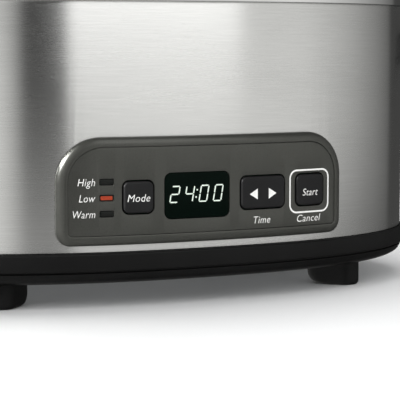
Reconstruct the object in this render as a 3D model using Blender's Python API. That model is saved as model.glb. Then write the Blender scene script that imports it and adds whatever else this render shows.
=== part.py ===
"""An oval slow cooker, built from its separate pieces.

Metres, +Z up, front towards -Y. The origin is on the worktop, under the middle of the body.
Every oval piece is turned about Z from an (r, z) section and then drawn out to the plan outline:
r is the half depth of the oval at that point, and the half length is LENGTH_EXTRA more.
Every piece of the control panel is made flat against the plane y = 0 and then wrapped on the front wall.
"""

import math

import bmesh
import bpy
from mathutils import Matrix, Vector

MM = 0.001

# ---------------------------------------------------------------- driving dimensions
BODY_HALF_LENGTH = 159 * MM
BODY_HALF_DEPTH = 110 * MM
LENGTH_EXTRA = BODY_HALF_LENGTH - BODY_HALF_DEPTH
PLAN_POWER = 2.4           # superellipse power of the plan outline
ROUND_CORE = 14 * MM       # inside this radius an oval piece is truly round
OVAL_FULL = 70 * MM        # outside this radius it follows the whole outline
OVAL_STEPS = 40
GAP = 0.3 * MM             # between touching pieces

RING_LOW = 13 * MM
BASE_TOP = 28.5 * MM       # the shell starts here
BASE_GROOVE = 19 * MM
UNDERCUT = 6 * MM           # the base rounds in this far below the groove
RING_INNER = BODY_HALF_DEPTH - 7 * MM
SHELL_TOP = 156 * MM
SHELL_THICK = 0.8 * MM
RIM_TOP = 161 * MM
PLATE_LOW = 14.4 * MM
PLATE_THICK = 1.5 * MM
PLATE_TOP = PLATE_LOW + PLATE_THICK

CROCK_FLOOR = 47 * MM
CROCK_TOP = 168.5 * MM
CROCK_WALL = 6.5 * MM
LID_SEAT = 165.2 * MM
DOME_RISE = 22.6 * MM
GLASS_THICK = 3.6 * MM
GLASS_EDGE = LID_SEAT + 1.6 * MM

HANDLE_Z = 128 * MM
HANDLE_REACH = 195 * MM
HANDLE_HALF_WIDTH = 52 * MM
HANDLE_HEIGHT = 16 * MM

PANEL_HALF_WIDTH = 78 * MM
PANEL_LOW = 32.2 * MM
PANEL_HIGH = 84.6 * MM
PANEL_PROUD = 4 * MM       # the bezel's ridge stands this far off the shell
PANEL_BEVEL = 4.8 * MM     # width of the bezel's slope
PANEL_TOP_RADIUS = 22 * MM
PANEL_FOOT_RADIUS = 7 * MM
WRAP_STEP = 12 * MM        # spacing of the cuts that let a flat piece bend

ROW_Z = 55.4 * MM            # the keys and the display sit on this line
KEY_PROUD = 1.2 * MM
KEY_TRAVEL = 0.6 * MM
KEY_GAP = 0.7 * MM
BOARD_FRONT = -100 * MM  # the face of the control board that carries the switches
BOARD_THICK = 1.6 * MM
SWITCH_TOP = -103.5 * MM
STEM_TOP = -104.6 * MM
STEM_LENGTH = 1.7 * MM
STEM_RADIUS = 1.7 * MM
ROCKER_LEVER = 6.5 * MM    # from the rocker's axis to each of its two switches

# name: (centre x, half width, half height) of each key
KEYS = {
    "mode_button": (-39 * MM, 8.2 * MM, 8.4 * MM),
    "time_rocker": (28.2 * MM, 13.2 * MM, 8.7 * MM),
    "start_button": (56.6 * MM, 9.2 * MM, 8.5 * MM),
}
KEY_RADIUS = 3.6 * MM
DISPLAY = (-8.1 * MM, 17.6 * MM, 11.4 * MM)
INDICATOR_X = -54.6 * MM
INDICATOR_HALF = (3.5 * MM, 1.6 * MM)
INDICATORS = {"high_indicator": 7.7 * MM, "low_indicator": 0.0, "warm_indicator": -7.7 * MM}

FOOT_PLACE = (92.9 * MM, 71.6 * MM)
FOOT_HEADING = 45
FOOT_HALF_LENGTH = 14 * MM
FOOT_RADIUS = 8 * MM
GRIP_REACH = 168 * MM
GRIP_HALF_WIDTH = 34 * MM
HANDLE_SCREW_Y = 45 * MM
GLAND_Z = 46 * MM

STEEL = ("brushed_steel", (0.60, 0.60, 0.59), 0.32, 1.0)
POLISHED = ("polished_steel", (0.66, 0.66, 0.65), 0.15, 1.0)
ZINC = ("zinc_plated", (0.50, 0.51, 0.52), 0.40, 1.0)
BLACK = ("black_plastic", (0.013, 0.014, 0.014), 0.42, 0.0)
RUBBER = ("black_rubber", (0.010, 0.010, 0.010), 0.80, 0.0)
GUNMETAL = ("gunmetal_paint", (0.072, 0.072, 0.063), 0.38, 0.35)
KEY = ("key_rubber", (0.030, 0.030, 0.031), 0.60, 0.0)
GLAZE = ("black_glaze", (0.012, 0.011, 0.010), 0.12, 0.0)
GLASS = ("clear_glass", (0.90, 0.93, 0.92), 0.02, 0.0)
LENS = ("display_lens", (0.003, 0.012, 0.008), 0.08, 0.0)
AMBER = ("amber_lens", (0.75, 0.10, 0.015), 0.25, 0.0)
SMOKE = ("smoked_lens", (0.012, 0.012, 0.012), 0.25, 0.0)
BOARD = ("circuit_board", (0.02, 0.10, 0.045), 0.45, 0.0)
MICA = ("mica", (0.34, 0.27, 0.17), 0.55, 0.0)
FIBRE = ("fibre_wool", (0.72, 0.70, 0.62), 0.95, 0.0)
SILICONE = ("silicone", (0.55, 0.55, 0.53), 0.70, 0.0)
WIRE_WHITE = ("white_insulation", (0.70, 0.70, 0.66), 0.60, 0.0)
WIRE_RED = ("red_insulation", (0.45, 0.03, 0.02), 0.60, 0.0)
COMPONENT = ("component_case", (0.03, 0.05, 0.10), 0.40, 0.0)


# ---------------------------------------------------------------- helpers
def clear_scene():
    for obj in list(bpy.data.objects):
        bpy.data.objects.remove(obj, do_unlink=True)


def material(finish):
    name, colour, roughness, metallic = finish
    found = bpy.data.materials.get(name)
    if found:
        return found
    made = bpy.data.materials.new(name)
    made.use_nodes = True
    shader = made.node_tree.nodes["Principled BSDF"]
    shader.inputs["Base Color"].default_value = (*colour, 1)
    shader.inputs["Roughness"].default_value = roughness
    shader.inputs["Metallic"].default_value = metallic
    made.diffuse_color = (*colour, 1)
    return made


def finish_object(name, bm, finish, origin=None):
    """A named object from a bmesh whose points are in world space. origin is a point on its joint's axis."""
    bmesh.ops.recalc_face_normals(bm, faces=bm.faces)
    if bm.calc_volume(signed=True) < 0:
        bmesh.ops.reverse_faces(bm, faces=bm.faces)
    mesh = bpy.data.meshes.new(name)
    bm.to_mesh(mesh)
    bm.free()
    mesh.shade_smooth()
    mesh.set_sharp_from_angle(angle=math.radians(35))
    obj = bpy.data.objects.new(name, mesh)
    bpy.context.scene.collection.objects.link(obj)
    if finish:
        mesh.materials.append(material(finish))
    if origin:
        mesh.transform(Matrix.Translation(-Vector(origin)))
        obj.location = origin
    return obj


def cutter(name, bm):
    obj = finish_object(name, bm, None)
    obj.hide_render = True
    obj.display_type = "WIRE"
    return obj


def boolean(obj, other, operation="DIFFERENCE"):
    modifier = obj.modifiers.new(other.name, "BOOLEAN")
    modifier.operation = operation
    modifier.object = other
    modifier.solver = "EXACT"


def signed_power(value, power):
    return math.copysign(abs(value) ** power, value)


def oval_share(r):
    """0 in the round middle of an oval piece, 1 where it follows the whole outline."""
    return min(1.0, max(0.0, (r - ROUND_CORE) / (OVAL_FULL - ROUND_CORE)))


def oval_point(r, angle):
    share = oval_share(r)
    power = 2 / (2 + (PLAN_POWER - 2) * share)
    x = (r + LENGTH_EXTRA * share) * signed_power(math.cos(angle), power)
    return x, r * signed_power(math.sin(angle), power)


def front_wall(x, proud=0.0):
    """y of the shell's front surface at x, moved out by proud."""
    share = min(1.0, abs(x) / (BODY_HALF_LENGTH + proud))
    return -(BODY_HALF_DEPTH + proud) * (1 - share**PLAN_POWER) ** (1 / PLAN_POWER)


def side_wall(y, proud=0.0):
    """x of the shell's right surface at y, moved out by proud."""
    share = min(1.0, abs(y) / (BODY_HALF_DEPTH + proud))
    return (BODY_HALF_LENGTH + proud) * (1 - share**PLAN_POWER) ** (1 / PLAN_POWER)


def arc(centre, radius, start, end, steps):
    """Points of an arc, from start to end in degrees."""
    angles = [math.radians(start + (end - start) * i / steps) for i in range(steps + 1)]
    return [(centre[0] + radius * math.cos(a), centre[1] + radius * math.sin(a)) for a in angles]


def turned_mesh(section, steps, closed=True):
    """A section of (r, z) points turned about Z. An open section starts and ends on the axis."""
    bm = bmesh.new()
    verts = [bm.verts.new((r, 0, z)) for r, z in section]
    pairs = list(zip(verts, verts[1:])) + ([(verts[-1], verts[0])] if closed else [])
    edges = [bm.edges.new(pair) for pair in pairs]
    turn = {"cent": (0, 0, 0), "axis": (0, 0, 1), "angle": 2 * math.pi}
    bmesh.ops.spin(bm, geom=verts + edges, steps=steps, use_merge=True, **turn)
    bmesh.ops.remove_doubles(bm, verts=bm.verts, dist=1e-6)
    return bm


def oval_mesh(section, closed=True, steps=OVAL_STEPS):
    bm = turned_mesh(section, steps, closed)
    for v in bm.verts:
        r = math.hypot(v.co.x, v.co.y)
        v.co.x, v.co.y = oval_point(r, math.atan2(v.co.y, v.co.x))
    return bm


def turned_at(section, place, direction=(0, 0, 1), steps=12, closed=False):
    """A turned piece whose axis runs through place, along direction."""
    bm = turned_mesh(section, steps, closed)
    turn = Vector((0, 0, 1)).rotation_difference(Vector(direction)).to_matrix().to_4x4()
    bmesh.ops.transform(bm, matrix=Matrix.Translation(place) @ turn, verts=bm.verts)
    return bm


def rod_section(radius, low, high):
    return [(0, low), (radius, low), (radius, high), (0, high)]


def tube_section(inner, outer, low, high):
    return [(inner, low), (outer, low), (outer, high), (inner, high)]


def box_mesh(low, high):
    bm = bmesh.new()
    bmesh.ops.create_cube(bm, size=1)
    size = Vector(high) - Vector(low)
    middle = (Vector(high) + Vector(low)) / 2
    bmesh.ops.transform(bm, matrix=Matrix.Translation(middle) @ Matrix.Diagonal((*size, 1)), verts=bm.verts)
    return bm


def add_mesh(bm, other):
    """Adds a second, separate body to bm."""
    spare = bpy.data.meshes.new("spare")
    other.to_mesh(spare)
    other.free()
    bm.from_mesh(spare)
    bpy.data.meshes.remove(spare)
    return bm


def group_mesh(parts):
    """One mesh that holds several separate bodies, for a set of cutters."""
    bm = bmesh.new()
    for part in parts:
        add_mesh(bm, part)
    return bm


def outline(x, half_width, low, high, top_radius, foot_radius, steps=4):
    """Points (x, z) round a rectangle with round corners, from the low right corner."""
    right, left = x + half_width, x - half_width
    points = arc((right - foot_radius, low + foot_radius), foot_radius, -90, 0, steps)
    points += arc((right - top_radius, high - top_radius), top_radius, 0, 90, steps)
    points += arc((left + top_radius, high - top_radius), top_radius, 90, 180, steps)
    return points + arc((left + foot_radius, low + foot_radius), foot_radius, 180, 270, steps)


def key_outline(x, half_width, half_height, radius=KEY_RADIUS, steps=3, z=ROW_Z):
    return outline(x, half_width, z - half_height, z + half_height, radius, radius, steps)


def panel_outline(inset, steps=4):
    return outline(
        0,
        PANEL_HALF_WIDTH - inset,
        PANEL_LOW + inset,
        PANEL_HIGH - inset,
        PANEL_TOP_RADIUS - inset,
        PANEL_FOOT_RADIUS - inset,
        steps,
    )


def loft(sections):
    """A closed solid through loops of equally many points. The first and last loop are filled."""
    bm = bmesh.new()
    loops = [[bm.verts.new(p) for p in section] for section in sections]
    for one, other in zip(loops, loops[1:]):
        for a, b, c, d in zip(one, one[1:] + one[:1], other[1:] + other[:1], other):
            bm.faces.new((a, b, c, d))
    bm.faces.new(loops[0])
    bm.faces.new(loops[-1])
    return bm


def panel_slab(levels):
    """A flat piece from (outline, y) levels, which may stop short of the panel's plane."""
    return loft([[(x, y, z) for x, z in points] for points, y in levels])


def wrapped(bm):
    """Bends a flat piece to the front wall, after cutting it into columns."""
    xs = [v.co.x for v in bm.verts]
    column = math.ceil(min(xs) / WRAP_STEP) * WRAP_STEP
    while column < max(xs):
        geom = bm.verts[:] + bm.edges[:] + bm.faces[:]
        bmesh.ops.bisect_plane(bm, geom=geom, dist=1e-6, plane_co=(column, 0, 0), plane_no=(1, 0, 0))
        column += WRAP_STEP
    for v in bm.verts:
        v.co.y += front_wall(v.co.x)
    bmesh.ops.triangulate(bm, faces=bm.faces)
    return bm


def front_cutter(name, points, near=-130 * MM, far=-88 * MM):
    """A straight cutter through the front wall."""
    return cutter(name, loft([[(x, y, z) for x, z in points] for y in (near, far)]))


def cable_object(name, route, radius, finish, steps):
    """A wire along a smooth curve through the route's points."""
    points = smooth_route([Vector(p) * MM for p in route], steps)
    curve = bpy.data.curves.new(name, "CURVE")
    curve.dimensions = "3D"
    spline = curve.splines.new("POLY")
    spline.points.add(len(points) - 1)
    for target, point in zip(spline.points, points):
        target.co = (*point, 1)
    curve.bevel_depth = radius
    curve.bevel_resolution = 1
    curve.use_fill_caps = True
    curve.materials.append(material(finish))
    obj = bpy.data.objects.new(name, curve)
    bpy.context.scene.collection.objects.link(obj)
    return obj


def smooth_route(points, steps):
    """Catmull-Rom points through a route."""
    ends = [points[0] * 2 - points[1]] + points + [points[-1] * 2 - points[-2]]
    found = []
    for a, b, c, d in zip(ends, ends[1:], ends[2:], ends[3:]):
        for i in range(steps):
            t = i / steps
            square, cube = 2 * a - 5 * b + 4 * c - d, 3 * b - a - 3 * c + d
            found.append(0.5 * (2 * b + (c - a) * t + square * t**2 + cube * t**3))
    return found + [points[-1]]


# ---------------------------------------------------------------- base
def build_base_ring():
    lower, waist, upper = BODY_HALF_DEPTH + 0.5 * MM, BODY_HALF_DEPTH - 0.5 * MM, BODY_HALF_DEPTH + 1.5 * MM
    lip_outer = BODY_HALF_DEPTH - SHELL_THICK - GAP
    lip_inner = lip_outer - 3.5 * MM
    flange_low = PLATE_TOP + GAP
    flange_inner = RING_INNER - 7 * MM
    section = [
        (RING_INNER, RING_LOW),
        (lower - UNDERCUT, RING_LOW),
        (lower - 2.6 * MM, RING_LOW + 1.3 * MM),
        (lower - 0.7 * MM, RING_LOW + 3.2 * MM),
        (lower, BASE_GROOVE - 0.6 * MM),
        (waist, BASE_GROOVE),
        (upper, BASE_GROOVE + 0.8 * MM),
        (upper, BASE_TOP - 0.9 * MM),
        (upper - 0.7 * MM, BASE_TOP),
        (lip_outer, BASE_TOP),
        (lip_outer, BASE_TOP + 5 * MM),
        (lip_inner, BASE_TOP + 5 * MM),
        (lip_inner, flange_low + 1.8 * MM),
        (flange_inner, flange_low + 1.8 * MM),
        (flange_inner, flange_low),
        (RING_INNER, flange_low),
    ]
    finish_object("base_ring", oval_mesh(section), BLACK)


def build_base_plate():
    section = tube_section(2.9 * MM, RING_INNER - GAP, PLATE_LOW, PLATE_TOP)
    plate = finish_object("base_plate", oval_mesh(section), ZINC)
    holes = [turned_at(rod_section(2.4 * MM, 0, 0.03), (x, y, 0)) for x, y, _ in foot_places()]
    slot_half = Vector((1.5 * MM, 14 * MM, 0.01))
    for side in (-1, 1):
        for i in range(5):
            middle = Vector((side * (80 + 7 * i) * MM, 0, PLATE_LOW))
            holes.append(box_mesh(middle - slot_half, middle + slot_half))
    boolean(plate, cutter("base_plate_holes", group_mesh(holes)))


def foot_places():
    """(x, y, heading in degrees) of each foot, whose heading points away from the middle of the body."""
    x, y = FOOT_PLACE
    turn = FOOT_HEADING
    return [(-x, -y, 180 + turn), (x, -y, -turn), (-x, y, 180 - turn), (x, y, turn)]


def build_feet():
    """Rubber feet with a sloping inner end, each held by a barbed stem pushed through the base plate."""
    names = ("foot_front_left", "foot_front_right", "foot_rear_left", "foot_rear_right")
    # (height, how far the side is drawn in, how much more the inner end is drawn in)
    levels = ((0, 2, 7.5), (0.8, 0.9, 4.4), (2.6, 0.2, 1.8), (6.4, 0, 0), (PLATE_LOW / MM - 0.3, 0, 0))
    barb = PLATE_TOP + GAP
    stem = [(0, 10 * MM), (1.9 * MM, 10 * MM), (1.9 * MM, barb), (3.6 * MM, barb), (2.2 * MM, barb + 4 * MM)]
    stem.append((0, barb + 4 * MM))
    for name, (x, y, heading) in zip(names, foot_places()):
        loops = []
        for z, inset, slope in levels:
            end, r = FOOT_HALF_LENGTH - FOOT_RADIUS, FOOT_RADIUS - inset * MM
            points = arc((end, 0), r, -90, 90, 6) + arc((slope * MM - end, 0), r, 90, 270, 6)
            loops.append([(px, py, z * MM) for px, py in points])
        bm = loft(loops)
        place = Matrix.Translation((x, y, 0)) @ Matrix.Rotation(math.radians(heading), 4, "Z")
        bmesh.ops.transform(bm, matrix=place, verts=bm.verts)
        foot = finish_object(name, bm, RUBBER)
        boolean(foot, cutter(name + "_stem", turned_at(stem, (x, y, 0))), "UNION")


def screw_mesh(place, direction, head_radius, head, shank_radius, shank, steps=10):
    """A pan-head screw. place is the underside of the head, and the shank runs along direction."""
    section = [(0, -head), (head_radius * 0.7, -head), (head_radius, -head * 0.5), (head_radius, 0)]
    section += [(shank_radius, 0), (shank_radius, shank), (0, shank)]
    return turned_at(section, place, direction, steps)


# ---------------------------------------------------------------- housing
def build_shell():
    section = tube_section(BODY_HALF_DEPTH - SHELL_THICK, BODY_HALF_DEPTH, BASE_TOP + GAP, SHELL_TOP)
    shell = finish_object("housing_shell", oval_mesh(section), STEEL)
    window = outline(0, 70.8 * MM, 36.9 * MM, 79.9 * MM, 14 * MM, 4 * MM)
    boolean(shell, front_cutter("shell_window", window))
    across = rod_section(2.3 * MM, -0.2, 0.2)
    holes = [turned_at(across, (0, side * HANDLE_SCREW_Y, HANDLE_Z), (1, 0, 0)) for side in (-1, 1)]
    holes.append(turned_at(rod_section(7.1 * MM, 0, 0.03), (0, 95 * MM, GLAND_Z), (0, 1, 0), 16))
    boolean(shell, cutter("shell_holes", group_mesh(holes)))


def build_top_rim():
    skirt_inner, skirt_outer = BODY_HALF_DEPTH + GAP, BODY_HALF_DEPTH + 1.6 * MM
    groove_inner = BODY_HALF_DEPTH - SHELL_THICK - GAP
    lip, seat = 95.2 * MM, 151.8 * MM
    section = [(skirt_outer, 149.5 * MM)]
    section += arc((skirt_outer - 3 * MM, RIM_TOP - 3 * MM), 3 * MM, 0, 90, 3)
    section += arc((lip + 1.5 * MM, RIM_TOP - 1.5 * MM), 1.5 * MM, 90, 180, 2)
    section += [
        (lip, seat),
        (groove_inner, seat),
        (groove_inner, SHELL_TOP + GAP),
        (skirt_inner, SHELL_TOP + GAP),
        (skirt_inner, 149.5 * MM),
    ]
    finish_object("top_rim", oval_mesh(section), POLISHED)


def build_liner():
    floor, corner, thick = 45.5 * MM, 12 * MM, 1.0 * MM
    corner_r, head_r, flange_r = 72.6 * MM, 94.6 * MM, 104 * MM
    flange_low = 150.5 * MM
    outer = [(0, floor - thick)] + arc((corner_r, floor + corner), corner + thick, -90, -6, 3)
    outer += [(head_r + thick, flange_low), (flange_r, flange_low), (flange_r, flange_low + thick)]
    inner = [(head_r, flange_low + thick)] + arc((corner_r, floor + corner), corner, -6, -90, 3)
    inner += [(0, floor)]
    finish_object("inner_liner", oval_mesh(outer + inner, closed=False), ZINC)


def wall_ring(name, low, high, inner_grow, outer_grow, finish):
    """A ring that hugs the liner's sloping wall between two heights."""
    foot, head = Vector((84.5, 56.2)) * MM, Vector((94.6, 150.5)) * MM

    def wall(z):
        return foot.x + (head.x - foot.x) * (z - foot.y) / (head.y - foot.y)

    section = [
        (wall(low) + inner_grow, low),
        (wall(low) + outer_grow, low),
        (wall(high) + outer_grow, high),
        (wall(high) + inner_grow, high),
    ]
    return finish_object(name, oval_mesh(section), finish)


def build_heater():
    band = wall_ring("heater_band", 60 * MM, 112 * MM, 1.4 * MM, 3.0 * MM, MICA)
    split = cutter("heater_split", box_mesh((-6 * MM, 60 * MM, 50 * MM), (6 * MM, 130 * MM, 120 * MM)))
    boolean(band, split)
    wall_ring("heater_strap", 64 * MM, 70 * MM, 3.3 * MM, 4.1 * MM, ZINC)
    wall_ring("insulation_wrap", 74 * MM, 140 * MM, 3.4 * MM, 7.4 * MM, FIBRE)


def build_support():
    """The bracket under the liner and the bolt that pulls the base plate up to it."""
    web, top, half, sheet = 30 * MM, 44.2 * MM, 10 * MM, 1.2 * MM
    end, bend = 62 * MM, 45 * MM
    right = [(bend, web), (bend, top), (end, top)]
    right += [(end, top - sheet), (bend + sheet, top - sheet), (bend + sheet, web - sheet)]
    left = [(-x, z) for x, z in reversed(right)]
    loops = [[(x, y, z) for x, z in right + left] for y in (-half, half)]
    bracket = finish_object("support_bracket", loft(loops), ZINC)
    boolean(bracket, cutter("bracket_hole", turned_at(rod_section(2.9 * MM, 20 * MM, 40 * MM), (0, 0, 0))))
    head_top, end = PLATE_LOW - GAP, 37 * MM
    head_low = head_top - 3.4 * MM
    bolt = [(0, head_low), (4.4 * MM, head_low), (4.4 * MM, head_top)]
    bolt += [(2.4 * MM, head_top), (2.4 * MM, end), (0, end)]
    finish_object("centre_bolt", turned_at(bolt, (0, 0, 0), steps=6), ZINC)
    nut = tube_section(2.9 * MM, 5 * MM, web + GAP, web + 4 * MM)
    finish_object("centre_nut", turned_at(nut, (0, 0, 0), steps=6, closed=True), ZINC)


def build_handles():
    low, high = HANDLE_Z - HANDLE_HEIGHT / 2, HANDLE_Z + HANDLE_HEIGHT / 2
    wall = oval_mesh(rod_section(BODY_HALF_DEPTH + GAP, low - 0.02, high + 0.02), closed=False)
    wall_cutter = cutter("handle_wall_cutter", wall)
    head_radius = 3.6 * MM
    screw_x = side_wall(HANDLE_SCREW_Y + head_radius, -SHELL_THICK) - 3 * GAP
    for name, side in (("handle_left", -1), ("handle_right", 1)):
        corner = 20 * MM
        loops = []
        for inset, z in ((2 * MM, low), (0, low + 3 * MM), (0, high - 3 * MM), (2 * MM, high)):
            end, half = HANDLE_REACH - inset, HANDLE_HALF_WIDTH - inset
            points = arc((end - corner, -half + corner), corner, -90, 0, 6)
            points += arc((end - corner, half - corner), corner, 0, 90, 6)
            points += [(120 * MM, half), (120 * MM, -half)]
            loops.append([(side * x, y, z) for x, y in points])
        handle = finish_object(name, loft(loops), BLACK)
        inner_end, inner_half, corner = HANDLE_REACH - 12 * MM, HANDLE_HALF_WIDTH - 14 * MM, 12 * MM
        points = arc((inner_end - corner, -inner_half + corner), corner, -90, 0, 5)
        points += arc((inner_end - corner, inner_half - corner), corner, 0, 90, 5)
        points += [(110 * MM, inner_half), (110 * MM, -inner_half)]
        loops = [[(side * x, y, z) for x, y in points] for z in (low - 0.01, high + 0.01)]
        boolean(handle, cutter(name + "_gap", loft(loops)))
        boolean(handle, wall_cutter)
        pilots = []
        for end, row in ((-1, "front"), (1, "rear")):
            place = (side * screw_x, end * HANDLE_SCREW_Y, HANDLE_Z)
            pilots.append(turned_at(rod_section(2.2 * MM, 0, 16 * MM), place, (side, 0, 0)))
            screw = screw_mesh(place, (side, 0, 0), head_radius, 2.2 * MM, 1.8 * MM, 13 * MM)
            finish_object(f"{name}_screw_{row}", screw, ZINC)
        boolean(handle, cutter(name + "_pilots", group_mesh(pilots)))


def build_gland():
    bore, thread = 3.9 * MM, 6.8 * MM
    outside = BODY_HALF_DEPTH + GAP
    inside, flange, end = 97 * MM, 10 * MM, outside + 4.6 * MM
    section = [(bore, inside), (thread, inside), (thread, outside), (flange, outside)]
    section += [(flange, outside + 3 * MM), (8 * MM, end), (bore, end)]
    finish_object("cord_gland", turned_at(section, (0, 0, GLAND_Z), (0, 1, 0), 16, closed=True), BLACK)
    nut = tube_section(thread + GAP, flange, 102.5 * MM, BODY_HALF_DEPTH - SHELL_THICK - 2 * GAP)
    finish_object("gland_nut", turned_at(nut, (0, 0, GLAND_Z), (0, 1, 0), 16, closed=True), BLACK)


# ---------------------------------------------------------------- control panel
def build_bezel():
    """A frame with a sloping rim, a shelf for the fascia inside and a skirt through the shell behind."""
    shelf, shelf_back, skirt_back = -1.9 * MM, -0.4 * MM, 3.2 * MM
    face = -PANEL_PROUD
    skirt = outline(0, 70.2 * MM, 37.5 * MM, 79.3 * MM, 13.5 * MM, 3.5 * MM)
    hollow = outline(0, 68.2 * MM, 39.5 * MM, 77.3 * MM, 11.5 * MM, 2 * MM)
    levels = [
        (hollow, shelf_back),
        (hollow, skirt_back),
        (skirt, skirt_back),
        (skirt, -GAP),
        (panel_outline(0), -GAP),
        (panel_outline(0), -1.4 * MM),
        (panel_outline(1.6 * MM), -3.2 * MM),
        (panel_outline(PANEL_BEVEL - 0.4 * MM), face),
        (panel_outline(PANEL_BEVEL), face + 0.2 * MM),
        (panel_outline(PANEL_BEVEL), shelf),
    ]
    bezel = finish_object("panel_bezel", wrapped(panel_slab(levels)), GUNMETAL)
    boolean(bezel, cutter("bezel_stakes", group_mesh([stake_mesh(x, z) for x, z in stake_places()])), "UNION")
    boolean(bezel, cutter("rocker_ears", group_mesh(rocker_ears())), "UNION")
    reach = KEYS["time_rocker"][2] + 2 * MM
    bore = turned_at(rod_section(1.15 * MM, -reach, reach), rocker_axis(), (0, 0, 1), 12)
    boolean(bezel, cutter("rocker_pin_bore", bore))
    holes = face_holes()
    for hole in holes:
        boolean(bezel, hole)
    return holes


def stake_places():
    return [(x, z) for x in (-64.5 * MM, 43.6 * MM) for z in (43 * MM, 69.5 * MM)]


def stake_mesh(x, z):
    """A boss that carries the control board, with a pin through the board that is melted over behind it."""
    front, board = front_wall(x) - 1 * MM, BOARD_FRONT - GAP
    back = BOARD_FRONT + BOARD_THICK + GAP
    section = [(0, front), (2.6 * MM, front), (2.6 * MM, board), (1.3 * MM, board), (1.3 * MM, back)]
    section += [(2.4 * MM, back), (1.6 * MM, back + 1.2 * MM), (0, back + 1.2 * MM)]
    return turned_at(section, (x, 0, z), (0, 1, 0), 10)


def rocker_ears():
    """Two ears behind the bezel, above and below the rocker, that hold its pin."""
    x, _, half_height = KEYS["time_rocker"]
    axis = rocker_axis()
    ears = []
    for side in (-1, 1):
        low, high = sorted((ROW_Z + side * (half_height + 0.4 * MM), ROW_Z + side * (half_height + 2.4 * MM)))
        ears.append(box_mesh((x - 2.8 * MM, axis.y - 2 * MM, low), (x + 2.8 * MM, axis.y + 2.4 * MM, high)))
    return ears


def face_holes():
    """Cutters for the keys, the display and the indicators."""
    holes = []
    for name, (x, half_width, half_height) in {**KEYS, "display": DISPLAY}.items():
        holes.append((f"{name}_hole", key_outline(x, half_width, half_height)))
    for name, rise in INDICATORS.items():
        holes.append((f"{name}_hole", key_outline(INDICATOR_X, *INDICATOR_HALF, 0.6 * MM, 2, ROW_Z + rise)))
    return [front_cutter(name, points) for name, points in holes]


def build_fascia(holes):
    edge = PANEL_BEVEL + GAP
    levels = [(panel_outline(edge), -2.2 * MM), (panel_outline(edge), -3.7 * MM)]
    fascia = finish_object("panel_fascia", wrapped(panel_slab(levels)), GUNMETAL)
    for hole in holes:
        boolean(fascia, hole)


def build_window():
    x, half_width, half_height = DISPLAY
    points = key_outline(x, half_width - GAP, half_height - GAP, KEY_RADIUS - GAP)
    finish_object("display_window", wrapped(panel_slab([(points, -1.8 * MM), (points, -3.4 * MM)])), LENS)
    low = (x - 16 * MM, -109 * MM, ROW_Z - 9.5 * MM)
    high = (x + 16 * MM, BOARD_FRONT - GAP, ROW_Z + 9.5 * MM)
    finish_object("display_module", box_mesh(low, high), COMPONENT)


def build_indicators():
    half_width, half_height = INDICATOR_HALF
    for name, rise in INDICATORS.items():
        z = ROW_Z + rise
        points = key_outline(INDICATOR_X, half_width - GAP, half_height - GAP, 0.4 * MM, 2, z)
        finish = AMBER if name == "low_indicator" else SMOKE
        finish_object(name, wrapped(panel_slab([(points, 0.6 * MM), (points, -3.5 * MM)])), finish)


def key_body(name, with_flange=True):
    """A key cap that stands proud of the face, with a flange behind the bezel's shelf."""
    x, half_width, half_height = KEYS[name]
    half_width, half_height = half_width - KEY_GAP, half_height - KEY_GAP
    radius = KEY_RADIUS - KEY_GAP
    front = -3.7 * MM - KEY_PROUD
    levels = [
        (key_outline(x, half_width - 0.8 * MM, half_height - 0.8 * MM, radius - 0.8 * MM), front),
        (key_outline(x, half_width, half_height, radius), front + 0.6 * MM),
        (key_outline(x, half_width, half_height, radius), -0.1 * MM if with_flange else -1.0 * MM),
    ]
    if with_flange:
        grow = KEY_GAP + 0.8 * MM
        wide = key_outline(x, half_width + grow, half_height + grow, radius)
        levels += [(wide, -0.1 * MM), (wide, 1.0 * MM)]
    return wrapped(panel_slab(levels))


def post_cutter(name, x, start, end, radius=1.5 * MM):
    return cutter(name, turned_at(rod_section(radius, start, end), (x, 0, ROW_Z), (0, 1, 0), 10))


def build_keys():
    for name in ("mode_button", "start_button"):
        x = KEYS[name][0]
        cap = finish_object(name, key_body(name), KEY, (x, STEM_TOP, ROW_Z))
        boolean(cap, post_cutter(name + "_post", x, front_wall(x), STEM_TOP - GAP), "UNION")
        build_stem(name.replace("button", "switch_stem"), x)


def build_stem(name, x):
    section = rod_section(STEM_RADIUS, STEM_TOP, STEM_TOP + STEM_LENGTH)
    stem = turned_at(section, (x, 0, ROW_Z), (0, 1, 0), 10)
    return finish_object(name, stem, KEY, (x, STEM_TOP, ROW_Z))


def rocker_axis():
    x = KEYS["time_rocker"][0]
    return Vector((x, front_wall(x) + 0.9 * MM, ROW_Z))


def build_rocker():
    """The two-way key turns on pins at its top and foot, in ears behind the bezel."""
    x, _, half_height = KEYS["time_rocker"]
    axis = rocker_axis()
    cap = finish_object("time_rocker", key_body("time_rocker", with_flange=False), KEY, axis)
    reach = half_height + 1.6 * MM
    spine_half = half_height - KEY_GAP - 0.6 * MM
    low = (x - 2 * MM, axis.y - 2.5 * MM, ROW_Z - spine_half)
    spine = box_mesh(low, (x + 2 * MM, axis.y + 1.2 * MM, ROW_Z + spine_half))
    boolean(cap, cutter("rocker_spine", spine), "UNION")
    pin = turned_at(rod_section(0.8 * MM, -reach, reach), axis, (0, 0, 1), 10)
    boolean(cap, cutter("rocker_pin", pin), "UNION")
    for name, side in (("time_down_stem", -1), ("time_up_stem", 1)):
        stem_x = x + side * ROCKER_LEVER
        start = front_wall(stem_x) - 2.5 * MM
        boolean(cap, post_cutter(name + "_post", stem_x, start, STEM_TOP - GAP, 1.2 * MM), "UNION")
        build_stem(name, stem_x)


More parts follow.
